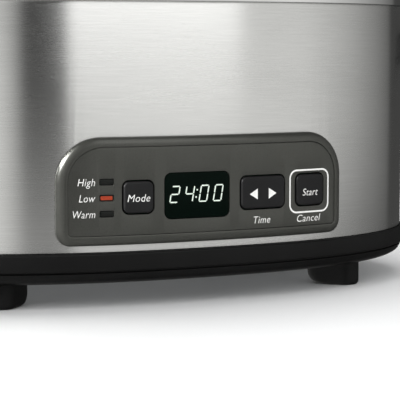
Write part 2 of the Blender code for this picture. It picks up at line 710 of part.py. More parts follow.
def build_control_board():
    low, high = (-67.5 * MM, BOARD_FRONT, 40.4 * MM), (64 * MM, BOARD_FRONT + BOARD_THICK, 74 * MM)
    board = finish_object("control_board", box_mesh(low, high), BOARD)
    through = rod_section(1.7 * MM, -0.11, -0.09)
    holes = [turned_at(through, (x, 0, z), (0, 1, 0), 10) for x, z in stake_places()]
    boolean(board, cutter("board_holes", group_mesh(holes)))
    time_x = KEYS["time_rocker"][0]
    places = {
        "mode_switch": KEYS["mode_button"][0],
        "time_down_switch": time_x - ROCKER_LEVER,
        "time_up_switch": time_x + ROCKER_LEVER,
        "start_switch": KEYS["start_button"][0],
    }
    half = 3.0 * MM
    well_end = STEM_TOP + STEM_LENGTH + KEY_TRAVEL + GAP
    for name, x in places.items():
        body = box_mesh((x - half, SWITCH_TOP, ROW_Z - half), (x + half, BOARD_FRONT - GAP, ROW_Z + half))
        switch = finish_object(name, body, COMPONENT)
        well = turned_at(rod_section(STEM_RADIUS + GAP, -0.11, well_end), (x, 0, ROW_Z), (0, 1, 0), 10)
        boolean(switch, cutter(name + "_well", well))


# ---------------------------------------------------------------- electrics in the base
def build_power_board():
    """The board stands on four spacers pressed into its corners."""
    board_low, board_high = 19.5 * MM, 21.1 * MM
    low, high = (-40 * MM, -76 * MM, board_low), (40 * MM, -34 * MM, board_high)
    board = finish_object("power_board", box_mesh(low, high), BOARD)
    posts = [
        turned_at(rod_section(2.5 * MM, PLATE_TOP + GAP, board_low + 0.5 * MM), (x, y, 0), steps=10)
        for x in (-36 * MM, 36 * MM)
        for y in (-72 * MM, -38 * MM)
    ]
    boolean(board, cutter("board_spacers", group_mesh(posts)), "UNION")
    top = board_high + GAP
    low, high = (-31 * MM, -63 * MM, top), (-12 * MM, -47 * MM, top + 15 * MM)
    finish_object("relay", box_mesh(low, high), COMPONENT)
    low, high = (-28 * MM, -43 * MM, top), (-12 * MM, -35 * MM, top + 10 * MM)
    finish_object("terminal_block", box_mesh(low, high), BLACK)
    build_transformer(top)


def build_transformer(low):
    core = box_mesh((0, -68 * MM, low), (31 * MM, -42 * MM, low + 15 * MM))
    transformer = finish_object("transformer", core, ZINC)
    coil = box_mesh((5 * MM, -73 * MM, low + 2 * MM), (26 * MM, -37 * MM, low + 12 * MM))
    boolean(transformer, cutter("transformer_coil", coil), "UNION")


def build_sensors():
    fuse = [(0, -7), (1.2, -7), (2.2, -5), (2.2, 5), (1.2, 7), (0, 7)]
    fuse = [(r * MM, x * MM) for r, x in fuse]
    finish_object("thermal_fuse", turned_at(fuse, (34 * MM, 26 * MM, 41.6 * MM), (1, 0, 0), 8), SILICONE)
    probe = [(0, 37), (3, 37), (3, 40), (6.5, 40), (6.5, 44.1), (0, 44.1)]
    probe = [(r * MM, z * MM) for r, z in probe]
    finish_object("temperature_sensor", turned_at(probe, (-30 * MM, 26 * MM, 0)), ZINC)


def beside_liner(angle, r, z):
    x, y = oval_point(r * MM, math.radians(angle))
    return x / MM, y / MM, z


def build_wiring():
    lead = 1.1 * MM
    route = [(-24, -39, 31.9), (-26, -41, 36), (-52, -58, 39), beside_liner(-127, 86, 42)]
    route += [beside_liner(-126, 91, 50), beside_liner(-125, 90, 62)]
    cable_object("heater_lead_live", route, lead, WIRE_RED, 3)
    route = [(-16, -39, 31.9), (-12, -36, 37), (20, -36, 39.5), (62, -56, 40), beside_liner(-53, 86, 43)]
    route += [beside_liner(-54, 91, 50), beside_liner(-55, 90, 62)]
    cable_object("heater_lead_neutral", route, lead, WIRE_WHITE, 3)
    route = [(-30, 26, 35.6), (-31, 14, 28), (-33, -8, 25), (-35, -28, 25), (-35.5, -46, 22.7)]
    cable_object("sensor_lead", route, lead, WIRE_WHITE, 3)
    build_ribbon()


def build_ribbon():
    x, half_width, half_thick = -22 * MM, 7 * MM, 0.5 * MM
    route = [(-97.4, 52), (-97.2, 46), (-96, 36), (-90, 26), (-80, 22.4), (-69, 22)]
    path = smooth_route([Vector((x, y * MM, z * MM)) for y, z in route], 3)
    loops = []
    for i, point in enumerate(path):
        along = (path[min(i + 1, len(path) - 1)] - path[max(i - 1, 0)]).normalized()
        across = along.cross(Vector((1, 0, 0)))
        corners = ((-1, -1), (1, -1), (1, 1), (-1, 1))
        loops.append([point + Vector((half_width * u, 0, 0)) + across * half_thick * v for u, v in corners])
    finish_object("ribbon_cable", loft(loops), WIRE_WHITE)


# ---------------------------------------------------------------- crock
def build_crock():
    flange_low = RIM_TOP + GAP
    corner = 13 * MM
    inner_corner = corner - 1 * MM
    floor = CROCK_FLOOR + 7.5 * MM
    wall_foot, wall_head = 81.5 * MM, 91.8 * MM
    outer = [(0, CROCK_FLOOR)] + arc((wall_foot - corner, CROCK_FLOOR + corner), corner, -90, -6, 3)
    outer += [(wall_head, 157 * MM), (93.4 * MM, flange_low)]
    outer += [(104 * MM, flange_low), (105.5 * MM, flange_low + 1.5 * MM)]
    outer += [(105.5 * MM, CROCK_TOP - 1.5 * MM), (104.3 * MM, CROCK_TOP), (101.2 * MM, CROCK_TOP)]
    seat = [(99.8 * MM, CROCK_TOP - 1.2 * MM), (99.5 * MM, LID_SEAT), (90.5 * MM, LID_SEAT)]
    seat.append((87.6 * MM, 162 * MM))
    inner_foot, inner_head = wall_foot - CROCK_WALL, wall_head - CROCK_WALL
    inner = arc((inner_foot - inner_corner, floor + inner_corner), inner_corner, -6, -90, 3) + [(0, floor)]
    section = outer + seat + [(inner_head, 157 * MM)] + inner
    crock = finish_object("crock", oval_mesh(section, closed=False), GLAZE)
    levels = ((1 * MM, flange_low + 0.2 * MM), (0, flange_low + 1.6 * MM), (1 * MM, CROCK_TOP - 1 * MM))
    for name, side in (("left", -1), ("right", 1)):
        loops = []
        for inset, z in levels:
            half, reach, radius = GRIP_HALF_WIDTH - inset, GRIP_REACH - inset, 12 * MM
            points = arc((reach - radius, -half + radius), radius, -90, 0, 4)
            points += arc((reach - radius, half - radius), radius, 0, 90, 4)
            points += [(148 * MM, half), (148 * MM, -half)]
            loops.append([(side * x, y, z) for x, y in points])
        boolean(crock, cutter(f"crock_grip_{name}", loft(loops)), "UNION")


# ---------------------------------------------------------------- lid
def dome_height(r):
    """How far the dome has risen at r, above the glass's flat edge."""
    edge = 92 * MM
    share = min(1.0, r / edge)
    return DOME_RISE * (1 - share**2.2)


def glass_top(r):
    return GLASS_EDGE + GLASS_THICK + dome_height(r)


def build_lid():
    edge, flat, bore = 96.5 * MM, 92 * MM, 4.3 * MM
    radii = [bore] + [flat * (i / 5) for i in range(1, 6)]
    under = [(r, GLASS_EDGE + dome_height(r)) for r in radii]
    over = [(r, glass_top(r)) for r in reversed(radii)]
    low, high = GLASS_EDGE, GLASS_EDGE + GLASS_THICK
    rim = [(edge - 0.8 * MM, low), (edge, low + 0.9 * MM), (edge, high - 0.9 * MM), (edge - 0.8 * MM, high)]
    glass = finish_object("lid_glass", oval_mesh(under + rim + over), GLASS)
    place, tilt = vent_place()
    hole = turned_at(rod_section(4 * MM, -0.02, 0.02), place, tilt, 14)
    boolean(glass, cutter("vent_hole", hole))
    build_lid_band(edge)
    build_vent(place, tilt)
    build_knob()


def vent_place():
    """The middle of the glass at the steam vent, and the way out of the dome there."""
    r = 46 * MM
    x = oval_point(r, 0)[0]
    step = 1 * MM
    along = oval_point(r + step, 0)[0] - oval_point(r - step, 0)[0]
    slope = (glass_top(r + step) - glass_top(r - step)) / along
    out = Vector((-slope, 0, 1)).normalized()
    return Vector((x, 0, glass_top(r))) - out * GLASS_THICK / 2, out


def build_vent(place, out):
    half = GLASS_THICK / 2 + GAP
    section = [(1.7, -half - 1 * MM), (5.6, -half - 1 * MM), (5.6, -half), (3.6, -half), (3.6, half)]
    section += [(5.8, half), (5.4, half + 0.9 * MM), (2.4, half + 1.2 * MM), (1.7, half + 0.8 * MM)]
    section = [(r * MM, z) for r, z in section]
    finish_object("steam_vent", turned_at(section, place, out, 14, closed=True), POLISHED)


def build_lid_band(edge):
    inner, lip, outer = edge + GAP, 93.6 * MM, 98.9 * MM
    low, high = LID_SEAT + GAP, GLASS_EDGE + GLASS_THICK + GAP + 0.9 * MM
    section = [
        (lip, low),
        (outer - 0.8 * MM, low),
        (outer, low + 0.8 * MM),
        (outer, high - 0.8 * MM),
        (outer - 0.8 * MM, high),
        (lip, high),
        (lip, high - 0.9 * MM),
        (inner, high - 0.9 * MM),
        (inner, GLASS_EDGE - GAP),
        (lip, GLASS_EDGE - GAP),
    ]
    finish_object("lid_band", oval_mesh(section), POLISHED)


def build_knob():
    seat = glass_top(4.3 * MM) + GAP
    top = seat + 27 * MM
    profile = [(2.4, 0), (12.5, 0), (13, 0.6), (12.5, 2.6), (9.4, 5.5), (8.6, 9), (10.5, 13.5), (16.5, 17.5)]
    profile += [(19.6, 20.5), (20.2, 23), (19, 25.4), (16, 27), (14.4, 27), (14.4, 25.4), (0, 25.4)]
    section = [(0, 13), (2.4, 13)] + profile
    section = [(r * MM, seat + z * MM) for r, z in section]
    finish_object("lid_knob", turned_at(section, (0, 0, 0), steps=18), BLACK)
    cap = [(0, -1.3), (13.8, -1.3), (14.1, -1), (13.4, -0.2), (0, 0.8)]
    cap = [(r * MM, top + z * MM) for r, z in cap]
    finish_object("knob_cap", turned_at(cap, (0, 0, 0), steps=18), POLISHED)
    under_glass = GLASS_EDGE + dome_height(4.3 * MM) - 0.9 * MM
    washer = tube_section(2.6 * MM, 9 * MM, under_glass - 1.5 * MM, under_glass)
    finish_object("knob_washer", turned_at(washer, (0, 0, 0), steps=16, closed=True), SILICONE)
    head_under = under_glass - 1.5 * MM - GAP
    screw = screw_mesh((0, 0, head_under), (0, 0, 1), 5 * MM, 2.6 * MM, 2.0 * MM, 17.5 * MM, 12)
    finish_object("knob_screw", screw, POLISHED)


def main():
    clear_scene()
    build_base_ring()
    build_base_plate()
    build_feet()
    build_shell()
    build_top_rim()
    build_liner()
    build_heater()
    build_support()
    build_handles()
    build_gland()
    build_fascia(build_bezel())
    build_window()
    build_indicators()
    build_keys()
    build_rocker()
    build_control_board()
    build_power_board()
    build_sensors()
    build_wiring()
    build_crock()
    build_lid()


main()
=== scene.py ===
"""The finished oval slow cooker: its smooth pieces, their materials and a plain studio.

Metres, +Z up, front towards -Y. Oval pieces are spun from an (r, z) section and drawn out to the
plan outline. Control panel pieces are made flat against the plane y = 0 and then wrapped on the front wall.
"""

import math

import bmesh
import bpy
from mathutils import Matrix, Vector


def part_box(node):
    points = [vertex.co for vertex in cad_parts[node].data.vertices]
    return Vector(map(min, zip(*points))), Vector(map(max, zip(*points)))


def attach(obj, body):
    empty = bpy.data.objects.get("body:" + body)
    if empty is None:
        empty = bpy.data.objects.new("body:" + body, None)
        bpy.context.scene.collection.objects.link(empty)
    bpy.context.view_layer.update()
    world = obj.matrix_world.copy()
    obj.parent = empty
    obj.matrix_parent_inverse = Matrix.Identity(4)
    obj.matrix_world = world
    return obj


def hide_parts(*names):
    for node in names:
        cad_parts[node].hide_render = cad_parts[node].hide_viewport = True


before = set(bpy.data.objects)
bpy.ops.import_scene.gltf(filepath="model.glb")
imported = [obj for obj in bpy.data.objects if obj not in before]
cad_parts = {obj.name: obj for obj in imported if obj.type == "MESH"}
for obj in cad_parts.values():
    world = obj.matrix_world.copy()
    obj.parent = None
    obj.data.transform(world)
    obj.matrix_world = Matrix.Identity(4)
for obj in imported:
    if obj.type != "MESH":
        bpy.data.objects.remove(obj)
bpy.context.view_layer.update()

MM = 0.001

# ---------------------------------------------------------------- sizes, from the frame
SHELL_LOW, SHELL_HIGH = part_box("housing_shell")
HALF_LENGTH, HALF_DEPTH = SHELL_HIGH.x, SHELL_HIGH.y
EXTRA = HALF_LENGTH - HALF_DEPTH
PLAN_POWER = 2.4
ROUND_CORE, OVAL_FULL = 14 * MM, 70 * MM
SHELL_THICK = 0.8 * MM
GAP = 0.3 * MM

RING_LOW, RING_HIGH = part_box("base_ring")
RIM_LOW, RIM_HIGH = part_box("top_rim")
LINER_LOW, LINER_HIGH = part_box("inner_liner")
PLATE_LOW, PLATE_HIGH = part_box("base_plate")
PANEL_LOW, PANEL_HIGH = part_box("panel_bezel")
CROCK_LOW, CROCK_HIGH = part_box("crock")
BAND_LOW, BAND_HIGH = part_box("lid_band")
GLASS_LOW, GLASS_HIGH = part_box("lid_glass")
KNOB_LOW, KNOB_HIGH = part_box("lid_knob")

PROUD = 4 * MM             # the bezel's ridge off the shell
RIDGE = 4.8 * MM           # width of the bezel's round slope
TOP_CORNER = 22 * MM
FOOT_CORNER = 7 * MM
FACE = -3.7 * MM           # the fascia's face, measured from the wall
KEY_GAP = 0.7 * MM
KEY_CORNER = 3.6 * MM
KEY_FACE = FACE - 1.2 * MM
COLUMN = 2 * MM            # spacing of the cuts that let a flat piece bend
PRINT = 0.03 * MM          # thickness of the printing

ROUND_STEPS = 48
OVAL_STEPS = 200


# ---------------------------------------------------------------- shapes
def signed_power(value, power):
    return math.copysign(abs(value) ** power, value)


def oval_point(r, angle):
    share = min(1.0, max(0.0, (r - ROUND_CORE) / (OVAL_FULL - ROUND_CORE)))
    power = 2 / (2 + (PLAN_POWER - 2) * share)
    x = (r + EXTRA * share) * signed_power(math.cos(angle), power)
    return x, r * signed_power(math.sin(angle), power)


def front_wall(x):
    """y of the shell's front surface at x."""
    share = min(1.0, abs(x) / HALF_LENGTH)
    return -HALF_DEPTH * (1 - share**PLAN_POWER) ** (1 / PLAN_POWER)


def arc(centre, radius, start, end, steps):
    angles = [math.radians(start + (end - start) * i / steps) for i in range(steps + 1)]
    return [(centre[0] + radius * math.cos(a), centre[1] + radius * math.sin(a)) for a in angles]


def softened(corners, steps=4, closed=True):
    """A section through (r, z, rounding) corners, with each corner rounded off by a curve."""
    points = []
    count = len(corners)
    for i, (r, z, soft) in enumerate(corners):
        here = Vector((r, z))
        if not soft or (not closed and i in (0, count - 1)):
            points.append((r, z))
            continue
        before = Vector(corners[i - 1][:2]) - here
        after = Vector(corners[(i + 1) % count][:2]) - here
        reach = min(soft, before.length * 0.48, after.length * 0.48)
        one, other = here + before.normalized() * reach, here + after.normalized() * reach
        for k in range(steps + 1):
            t = k / steps
            p = one * (1 - t) ** 2 + here * 2 * t * (1 - t) + other * t**2
            points.append((p.x, p.y))
    return points


def spun_mesh(section, steps, closed=True):
    bm = bmesh.new()
    verts = [bm.verts.new((r, 0, z)) for r, z in section]
    pairs = list(zip(verts, verts[1:])) + ([(verts[-1], verts[0])] if closed else [])
    edges = [bm.edges.new(pair) for pair in pairs]
    turn = {"cent": (0, 0, 0), "axis": (0, 0, 1), "angle": 2 * math.pi}
    bmesh.ops.spin(bm, geom=verts + edges, steps=steps, use_merge=True, **turn)
    bmesh.ops.remove_doubles(bm, verts=bm.verts, dist=1e-6)
    return bm


def oval_mesh(section, closed=True, steps=OVAL_STEPS):
    bm = spun_mesh(section, steps, closed)
    for v in bm.verts:
        v.co.x, v.co.y = oval_point(math.hypot(v.co.x, v.co.y), math.atan2(v.co.y, v.co.x))
    return bm


def spun_at(section, place, direction=(0, 0, 1), steps=ROUND_STEPS, closed=False):
    bm = spun_mesh(section, steps, closed)
    turn = Vector((0, 0, 1)).rotation_difference(Vector(direction)).to_matrix().to_4x4()
    bmesh.ops.transform(bm, matrix=Matrix.Translation(place) @ turn, verts=bm.verts)
    return bm


def rod_section(radius, low, high):
    return [(0, low), (radius, low), (radius, high), (0, high)]


def outline(x, half_width, low, high, top_corner, foot_corner, steps=12):
    """Points (x, z) round a rectangle with round corners, from the low right corner."""
    right, left = x + half_width, x - half_width
    points = arc((right - foot_corner, low + foot_corner), foot_corner, -90, 0, steps)
    points += arc((right - top_corner, high - top_corner), top_corner, 0, 90, steps)
    points += arc((left + top_corner, high - top_corner), top_corner, 90, 180, steps)
    return points + arc((left + foot_corner, low + foot_corner), foot_corner, 180, 270, steps)


def box_outline(low, high, grow=0.0, corner=KEY_CORNER, steps=8):
    """The round-cornered outline of a box in front view, grown on every side."""
    middle, half = (low.x + high.x) / 2, (high.x - low.x) / 2 + grow
    return outline(middle, half, low.z - grow, high.z + grow, corner, corner, steps)


def panel_outline(inset=0.0, steps=16):
    half = PANEL_HIGH.x - inset
    low, high = PANEL_LOW.z + inset, PANEL_HIGH.z - inset
    return outline(0, half, low, high, TOP_CORNER - inset, FOOT_CORNER - inset, steps)


def slab(points, back, front, soft=0.0, segments=4, depth_axis="y"):
    """An outline given thickness from back to front, with the front edge rounded off."""
    bm = bmesh.new()
    if depth_axis == "y":
        verts = [bm.verts.new((x, back, z)) for x, z in points]
        move = Vector((0, front - back, 0))
    else:
        verts = [bm.verts.new((x, y, back)) for x, y in points]
        move = Vector((0, 0, front - back))
    base = bm.faces.new(verts)
    made = bmesh.ops.extrude_face_region(bm, geom=[base], use_keep_orig=True)
    moved = [g for g in made["geom"] if isinstance(g, bmesh.types.BMVert)]
    cap = [g for g in made["geom"] if isinstance(g, bmesh.types.BMFace)][0]
    bmesh.ops.translate(bm, vec=move, verts=moved)
    if soft:
        edges = list(cap.edges)
        bevel(bm, edges, soft, segments)
    bmesh.ops.recalc_face_normals(bm, faces=bm.faces)
    return bm


def bevel(bm, edges, offset, segments=3):
    bmesh.ops.bevel(
        bm,
        geom=edges,
        offset=offset,
        offset_type="OFFSET",
        segments=segments,
        profile=0.5,
        affect="EDGES",
        clamp_overlap=True,
        material=-1,
    )


def sliced(bm, spacing, axis=0):
    """Cuts a flat piece into strips across one axis."""
    values = [v.co[axis] for v in bm.verts]
    normal = Vector((0, 0, 0))
    normal[axis] = 1
    place = math.ceil(min(values) / spacing) * spacing
    while place < max(values):
        geom = bm.verts[:] + bm.edges[:] + bm.faces[:]
        bmesh.ops.bisect_plane(bm, geom=geom, dist=1e-6, plane_co=normal * place, plane_no=normal)
        place += spacing


def wrapped(bm, spacing=COLUMN):
    """Bends a flat piece to the front wall."""
    if spacing:
        sliced(bm, spacing)
    for v in bm.verts:
        v.co.y += front_wall(v.co.x)
    return bm


def joined(parts):
    """One mesh from several closed bodies."""
    bm = bmesh.new()
    for part in parts:
        spare = bpy.data.meshes.new("spare")
        part.to_mesh(spare)
        part.free()
        bm.from_mesh(spare)
        bpy.data.meshes.remove(spare)
    return bm


def outward(bm):
    bmesh.ops.recalc_face_normals(bm, faces=bm.faces)
    if bm.calc_volume(signed=True) < 0:
        bmesh.ops.reverse_faces(bm, faces=bm.faces)


def plain_object(name, bm):
    outward(bm)
    mesh = bpy.data.meshes.new(name)
    bm.to_mesh(mesh)
    bm.free()
    obj = bpy.data.objects.new(name, mesh)
    bpy.context.scene.collection.objects.link(obj)
    return obj


def carve(bm, other, operation="DIFFERENCE"):
    """bm with other cut from it or joined to it, as a new bmesh."""
    obj, tool = plain_object("carved", bm), plain_object("tool", other)
    modifier = obj.modifiers.new("carve", "BOOLEAN")
    modifier.operation = operation
    modifier.object = tool
    modifier.solver = "EXACT"
    graph = bpy.context.evaluated_depsgraph_get()
    result = bmesh.new()
    result.from_object(obj, graph)
    for used in (obj, tool):
        mesh = used.data
        bpy.data.objects.remove(used)
        bpy.data.meshes.remove(mesh)
    return result


def piece(name, bm, finish, body, stands_for=(), sharp=35):
    """A finished piece that rides on a body and may stand for CAD nodes."""
    obj = plain_object(name, bm)
    obj.data.shade_smooth()
    obj.data.set_sharp_from_angle(angle=math.radians(sharp))
    obj.data.materials.append(finish)
    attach(obj, body)
    if stands_for:
        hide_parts(*stands_for)
    return obj


# ---------------------------------------------------------------- materials
class Finish:
    """A Principled material whose patterns read Object coordinates."""

    def __init__(self, name, colour, roughness, metallic=0.0, **constants):
        self.material = bpy.data.materials.new(name)
        self.material.use_nodes = True
        self.nodes = self.material.node_tree.nodes
        self.links = self.material.node_tree.links
        self.shader = self.nodes["Principled BSDF"]
        self.set("Base Color", (*colour, 1))
        self.set("Roughness", roughness)
        self.set("Metallic", metallic)
        for socket, value in constants.items():
            self.set(socket.replace("_", " "), value)
        self.place = self.nodes.new("ShaderNodeTexCoord").outputs["Object"]
        self.bumps = None

    def set(self, socket, value):
        self.shader.inputs[socket].default_value = value

    def mapped(self, scale, shift=(0, 0, 0)):
        mapping = self.nodes.new("ShaderNodeMapping")
        mapping.inputs["Scale"].default_value = scale
        mapping.inputs["Location"].default_value = shift
        self.links.new(self.place, mapping.inputs["Vector"])
        return mapping.outputs["Vector"]

    def noise(self, scale, detail=3, roughness=0.5, shift=(0, 0, 0)):
        """Noise of so many grains a metre, which may differ along X, Y and Z."""
        scale = scale if isinstance(scale, tuple) else (scale, scale, scale)
        node = self.nodes.new("ShaderNodeTexNoise")
        node.inputs["Scale"].default_value = 1
        node.inputs["Detail"].default_value = detail
        node.inputs["Roughness"].default_value = roughness
        self.links.new(self.mapped(scale, shift), node.inputs["Vector"])
        return node.outputs["Fac"]

    def spread(self, value, low, high, from_low=0.3, from_high=0.7):
        node = self.nodes.new("ShaderNodeMapRange")
        node.inputs["From Min"].default_value = from_low
        node.inputs["From Max"].default_value = from_high
        node.inputs["To Min"].default_value = low
        node.inputs["To Max"].default_value = high
        self.links.new(value, node.inputs["Value"])
        return node.outputs["Result"]

    def blended(self, share, one, other):
        node = self.nodes.new("ShaderNodeMix")
        node.data_type = "RGBA"
        self.links.new(share, node.inputs[0])
        for socket, colour in ((node.inputs[6], one), (node.inputs[7], other)):
            if isinstance(colour, tuple):
                socket.default_value = (*colour, 1)
            else:
                self.links.new(colour, socket)
        return node.outputs[2]

    def product(self, one, other):
        node = self.nodes.new("ShaderNodeMath")
        node.operation = "MULTIPLY"
        self.links.new(one, node.inputs[0])
        if isinstance(other, float):
            node.inputs[1].default_value = other
        else:
            self.links.new(other, node.inputs[1])
        return node.outputs[0]

    def colour(self, share, one, other):
        self.links.new(self.blended(share, one, other), self.shader.inputs["Base Color"])

    def rough(self, value, low, high, from_low=0.3, from_high=0.7):
        self.links.new(self.spread(value, low, high, from_low, from_high), self.shader.inputs["Roughness"])

    def bump(self, height, distance, strength=1.0):
        node = self.nodes.new("ShaderNodeBump")
        node.inputs["Distance"].default_value = distance
        node.inputs["Strength"].default_value = strength
        self.links.new(height, node.inputs["Height"])
        if self.bumps:
            self.links.new(self.bumps, node.inputs["Normal"])
        self.bumps = node.outputs["Normal"]
        self.links.new(self.bumps, self.shader.inputs["Normal"])


def brushed_steel():
    """Steel brushed along the wall: long level streaks that smear reflections upwards."""
    grain = {"Anisotropic": 0.98, "Anisotropic_Rotation": 0.25}
    look = Finish("brushed_steel", (0.79, 0.79, 0.775), 0.25, 1.0, **grain)
    streaks = look.noise((45, 45, 2600), 4, 0.6)
    fine = look.noise((160, 160, 7000), 2, 0.5)
    clouds = look.noise((9, 9, 30), 2)
    look.colour(look.spread(streaks, 0, 1), (0.755, 0.755, 0.74), (0.825, 0.825, 0.81))
    look.rough(look.product(fine, clouds), 0.235, 0.275, 0.15, 0.35)
    look.bump(streaks, 0.01 * MM, 0.25)
    tangent = look.nodes.new("ShaderNodeTangent")
    tangent.direction_type = "RADIAL"
    tangent.axis = "Z"
    look.links.new(tangent.outputs["Tangent"], look.shader.inputs["Tangent"])
    return look.material


def polished_steel():
    look = Finish("polished_steel", (0.76, 0.76, 0.75), 0.12, 1.0)
    haze = look.noise(60, 3)
    hairs = look.noise((900, 900, 4000), 2)
    look.colour(haze, (0.70, 0.70, 0.69), (0.82, 0.82, 0.81))
    look.rough(hairs, 0.08, 0.17)
    look.bump(haze, 0.02 * MM, 0.2)
    return look.material


def moulded(name, colour, roughness, grain=2200, depth=0.015, **constants):
    """A moulded plastic with a fine cast grain, slightly uneven in colour and gloss."""
    look = Finish(name, colour, roughness, **constants)
    texture = look.noise(grain, 2, 0.6)
    clouds = look.noise(35, 3)
    darker = tuple(c * 0.82 for c in colour)
    lighter = tuple(min(1.0, c * 1.18) for c in colour)
    look.colour(look.spread(clouds, 0, 1), darker, lighter)
    look.rough(texture, roughness - 0.05, roughness + 0.06)
    look.bump(texture, depth * MM, 0.5)
    return look.material


def gunmetal_paint():
    """Satin metallic paint: fine flakes over a warm dark grey."""
    look = Finish("gunmetal_paint", (0.06, 0.06, 0.054), 0.33, 0.6, Specular_IOR_Level=0.5)
    flakes = look.noise(5200, 1, 0.4)
    clouds = look.noise((30, 30, 60), 2)
    base = look.blended(look.spread(clouds, 0, 1), (0.056, 0.057, 0.050), (0.066, 0.067, 0.060))
    look.colour(look.spread(flakes, 0, 0.3, 0.45, 0.8), base, (0.13, 0.13, 0.12))
    look.rough(flakes, 0.27, 0.34)
    look.bump(look.noise(900, 2), 0.01 * MM, 0.3)
    return look.material


def printed_white():
    """White ink, a little thin and uneven."""
    look = Finish("printed_white", (0.82, 0.82, 0.8), 0.45)
    look.colour(look.noise(2500, 3), (0.74, 0.74, 0.72), (0.9, 0.9, 0.88))
    return look.material


def display_lens():
    look = Finish("display_lens", (0.001, 0.003, 0.002), 0.12, Specular_IOR_Level=0.04)
    look.colour(look.noise((60, 60, 90), 2), (0.0006, 0.0022, 0.0014), (0.0012, 0.0042, 0.0028))
    look.rough(look.noise(40, 2), 0.07, 0.13)
    return look.material


def glowing(name, colour, edge, strength, grain=900):
    """A lit segment or lens, a little brighter in some spots."""
    look = Finish(name, colour, 0.3)
    speckle = look.spread(look.noise(grain, 2), 0, 1)
    glow = look.blended(speckle, edge, colour)
    look.links.new(glow, look.shader.inputs["Base Color"])
    look.links.new(glow, look.shader.inputs["Emission Color"])
    look.set("Emission Strength", strength)
    return look.material


def black_glaze():
    """Dark stoneware glaze: glossy, faintly rippled, breaking to brown where it is thin."""
    look = Finish("black_glaze", (0.012, 0.011, 0.010), 0.1, Coat_Weight=0.4, Coat_Roughness=0.05)
    ripple = look.noise(28, 3)
    specks = look.noise(1400, 1)
    base = look.blended(look.spread(ripple, 0, 1), (0.008, 0.0075, 0.007), (0.022, 0.017, 0.013))
    look.colour(look.spread(specks, 0, 0.5, 0.62, 0.75), base, (0.05, 0.04, 0.032))
    look.rough(ripple, 0.07, 0.16)
    look.bump(ripple, 0.25 * MM, 0.35)
    return look.material


def clear_glass():
    look = Finish("clear_glass", (0.96, 0.98, 0.975), 0.02, Transmission_Weight=1.0, IOR=1.5)
    waves = look.noise(18, 2)
    look.rough(look.noise(60, 3), 0.01, 0.035)
    look.colour(waves, (0.93, 0.965, 0.955), (0.97, 0.985, 0.98))
    look.bump(waves, 0.05 * MM, 0.2)
    return look.material


def zinc_plate():
    """Zinc-plated sheet with a faint spangle."""
    look = Finish("zinc_plate", (0.5, 0.51, 0.52), 0.38, 0.9)
    cells = look.nodes.new("ShaderNodeTexVoronoi")
    cells.inputs["Scale"].default_value = 220
    look.links.new(look.place, cells.inputs["Vector"])
    look.colour(cells.outputs["Distance"], (0.44, 0.45, 0.46), (0.58, 0.59, 0.60))
    look.rough(look.noise(300, 3), 0.3, 0.46)
    return look.material


def layered(name, one, other, roughness, scale, detail=4, metallic=0.0, depth=0.1):
    """Mica, fibre, laminate and wire covers: two tones mixed by a noise that also raises the surface."""
    look = Finish(name, one, roughness, metallic)
    pattern = look.noise(scale, detail, 0.6)
    look.colour(look.spread(pattern, 0, 1), one, other)
    look.rough(pattern, roughness - 0.05, roughness + 0.05)
    look.bump(pattern, depth * MM, 0.4)
    return look.material


STEEL = brushed_steel()
POLISHED = polished_steel()
GUNMETAL = gunmetal_paint()
BASE_BLACK = moulded("base_black", (0.005, 0.005, 0.005), 0.38, 1800, 0.012, Specular_IOR_Level=0.13)
HANDLE_BLACK = moulded("handle_black", (0.008, 0.008, 0.008), 0.42, 1500, 0.03, Specular_IOR_Level=0.35)
FOOT_RUBBER = moulded("foot_rubber", (0.003, 0.003, 0.003), 0.45, 1300, 0.03, Specular_IOR_Level=0.16)
KEY_GREY = moulded("key_grey", (0.010, 0.010, 0.0105), 0.5, 2600, 0.01, Specular_IOR_Level=0.2)
GASKET = moulded("silicone_grey", (0.5, 0.5, 0.48), 0.6, 900, 0.03)
CASES = moulded("component_case", (0.03, 0.045, 0.08), 0.4, 1200, 0.02)
SMOKED = moulded("smoked_lens", (0.006, 0.007, 0.006), 0.3, 700, 0.003, Specular_IOR_Level=0.2)
INK = printed_white()
LENS = display_lens()
LIT_AMBER = glowing("lit_amber", (0.22, 0.017, 0.0005), (0.3, 0.026, 0.0), 0.3)
LIT_DIGIT = glowing("lit_digit", (0.62, 0.68, 0.62), (0.5, 0.58, 0.5), 0.35)
GLAZE = black_glaze()
GLASS = clear_glass()
ZINC = zinc_plate()
MICA = layered("mica_sheet", (0.36, 0.28, 0.17), (0.24, 0.18, 0.10), 0.5, 260)
WOOL = layered("fibre_wool", (0.74, 0.71, 0.63), (0.55, 0.52, 0.45), 0.92, 700, 6, 0.0, 0.5)
LAMINATE = layered("board_laminate", (0.015, 0.09, 0.04), (0.03, 0.13, 0.06), 0.42, 420)
WHITE_COVER = layered("white_wire_cover", (0.7, 0.7, 0.67), (0.62, 0.62, 0.58), 0.55, 900)
RED_COVER = layered("red_wire_cover", (0.42, 0.03, 0.02), (0.52, 0.05, 0.03), 0.55, 900)


# ---------------------------------------------------------------- body
def make_shell():
    low, high = SHELL_LOW.z, SHELL_HIGH.z
    inner, outer, soft = HALF_DEPTH - SHELL_THICK, HALF_DEPTH, 0.3 * MM
    section = softened([(inner, low, soft), (outer, low, soft), (outer, high, soft), (inner, high, soft)], 2)
    bm = oval_mesh(section)
    window = outline(0, 70.8 * MM, 36.9 * MM, 79.9 * MM, 14 * MM, 4 * MM)
    bm = carve(bm, slab(window, -0.13, -0.088))
    gland_low, gland_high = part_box("cord_gland")
    middle = (gland_low + gland_high) / 2
    hole = spun_at(rod_section(7.1 * MM, 0, 0.03), (middle.x, 95 * MM, middle.z), (0, 1, 0))
    bm = carve(bm, hole)
    piece("shell_wall", bm, STEEL, "housing", ["housing_shell"])


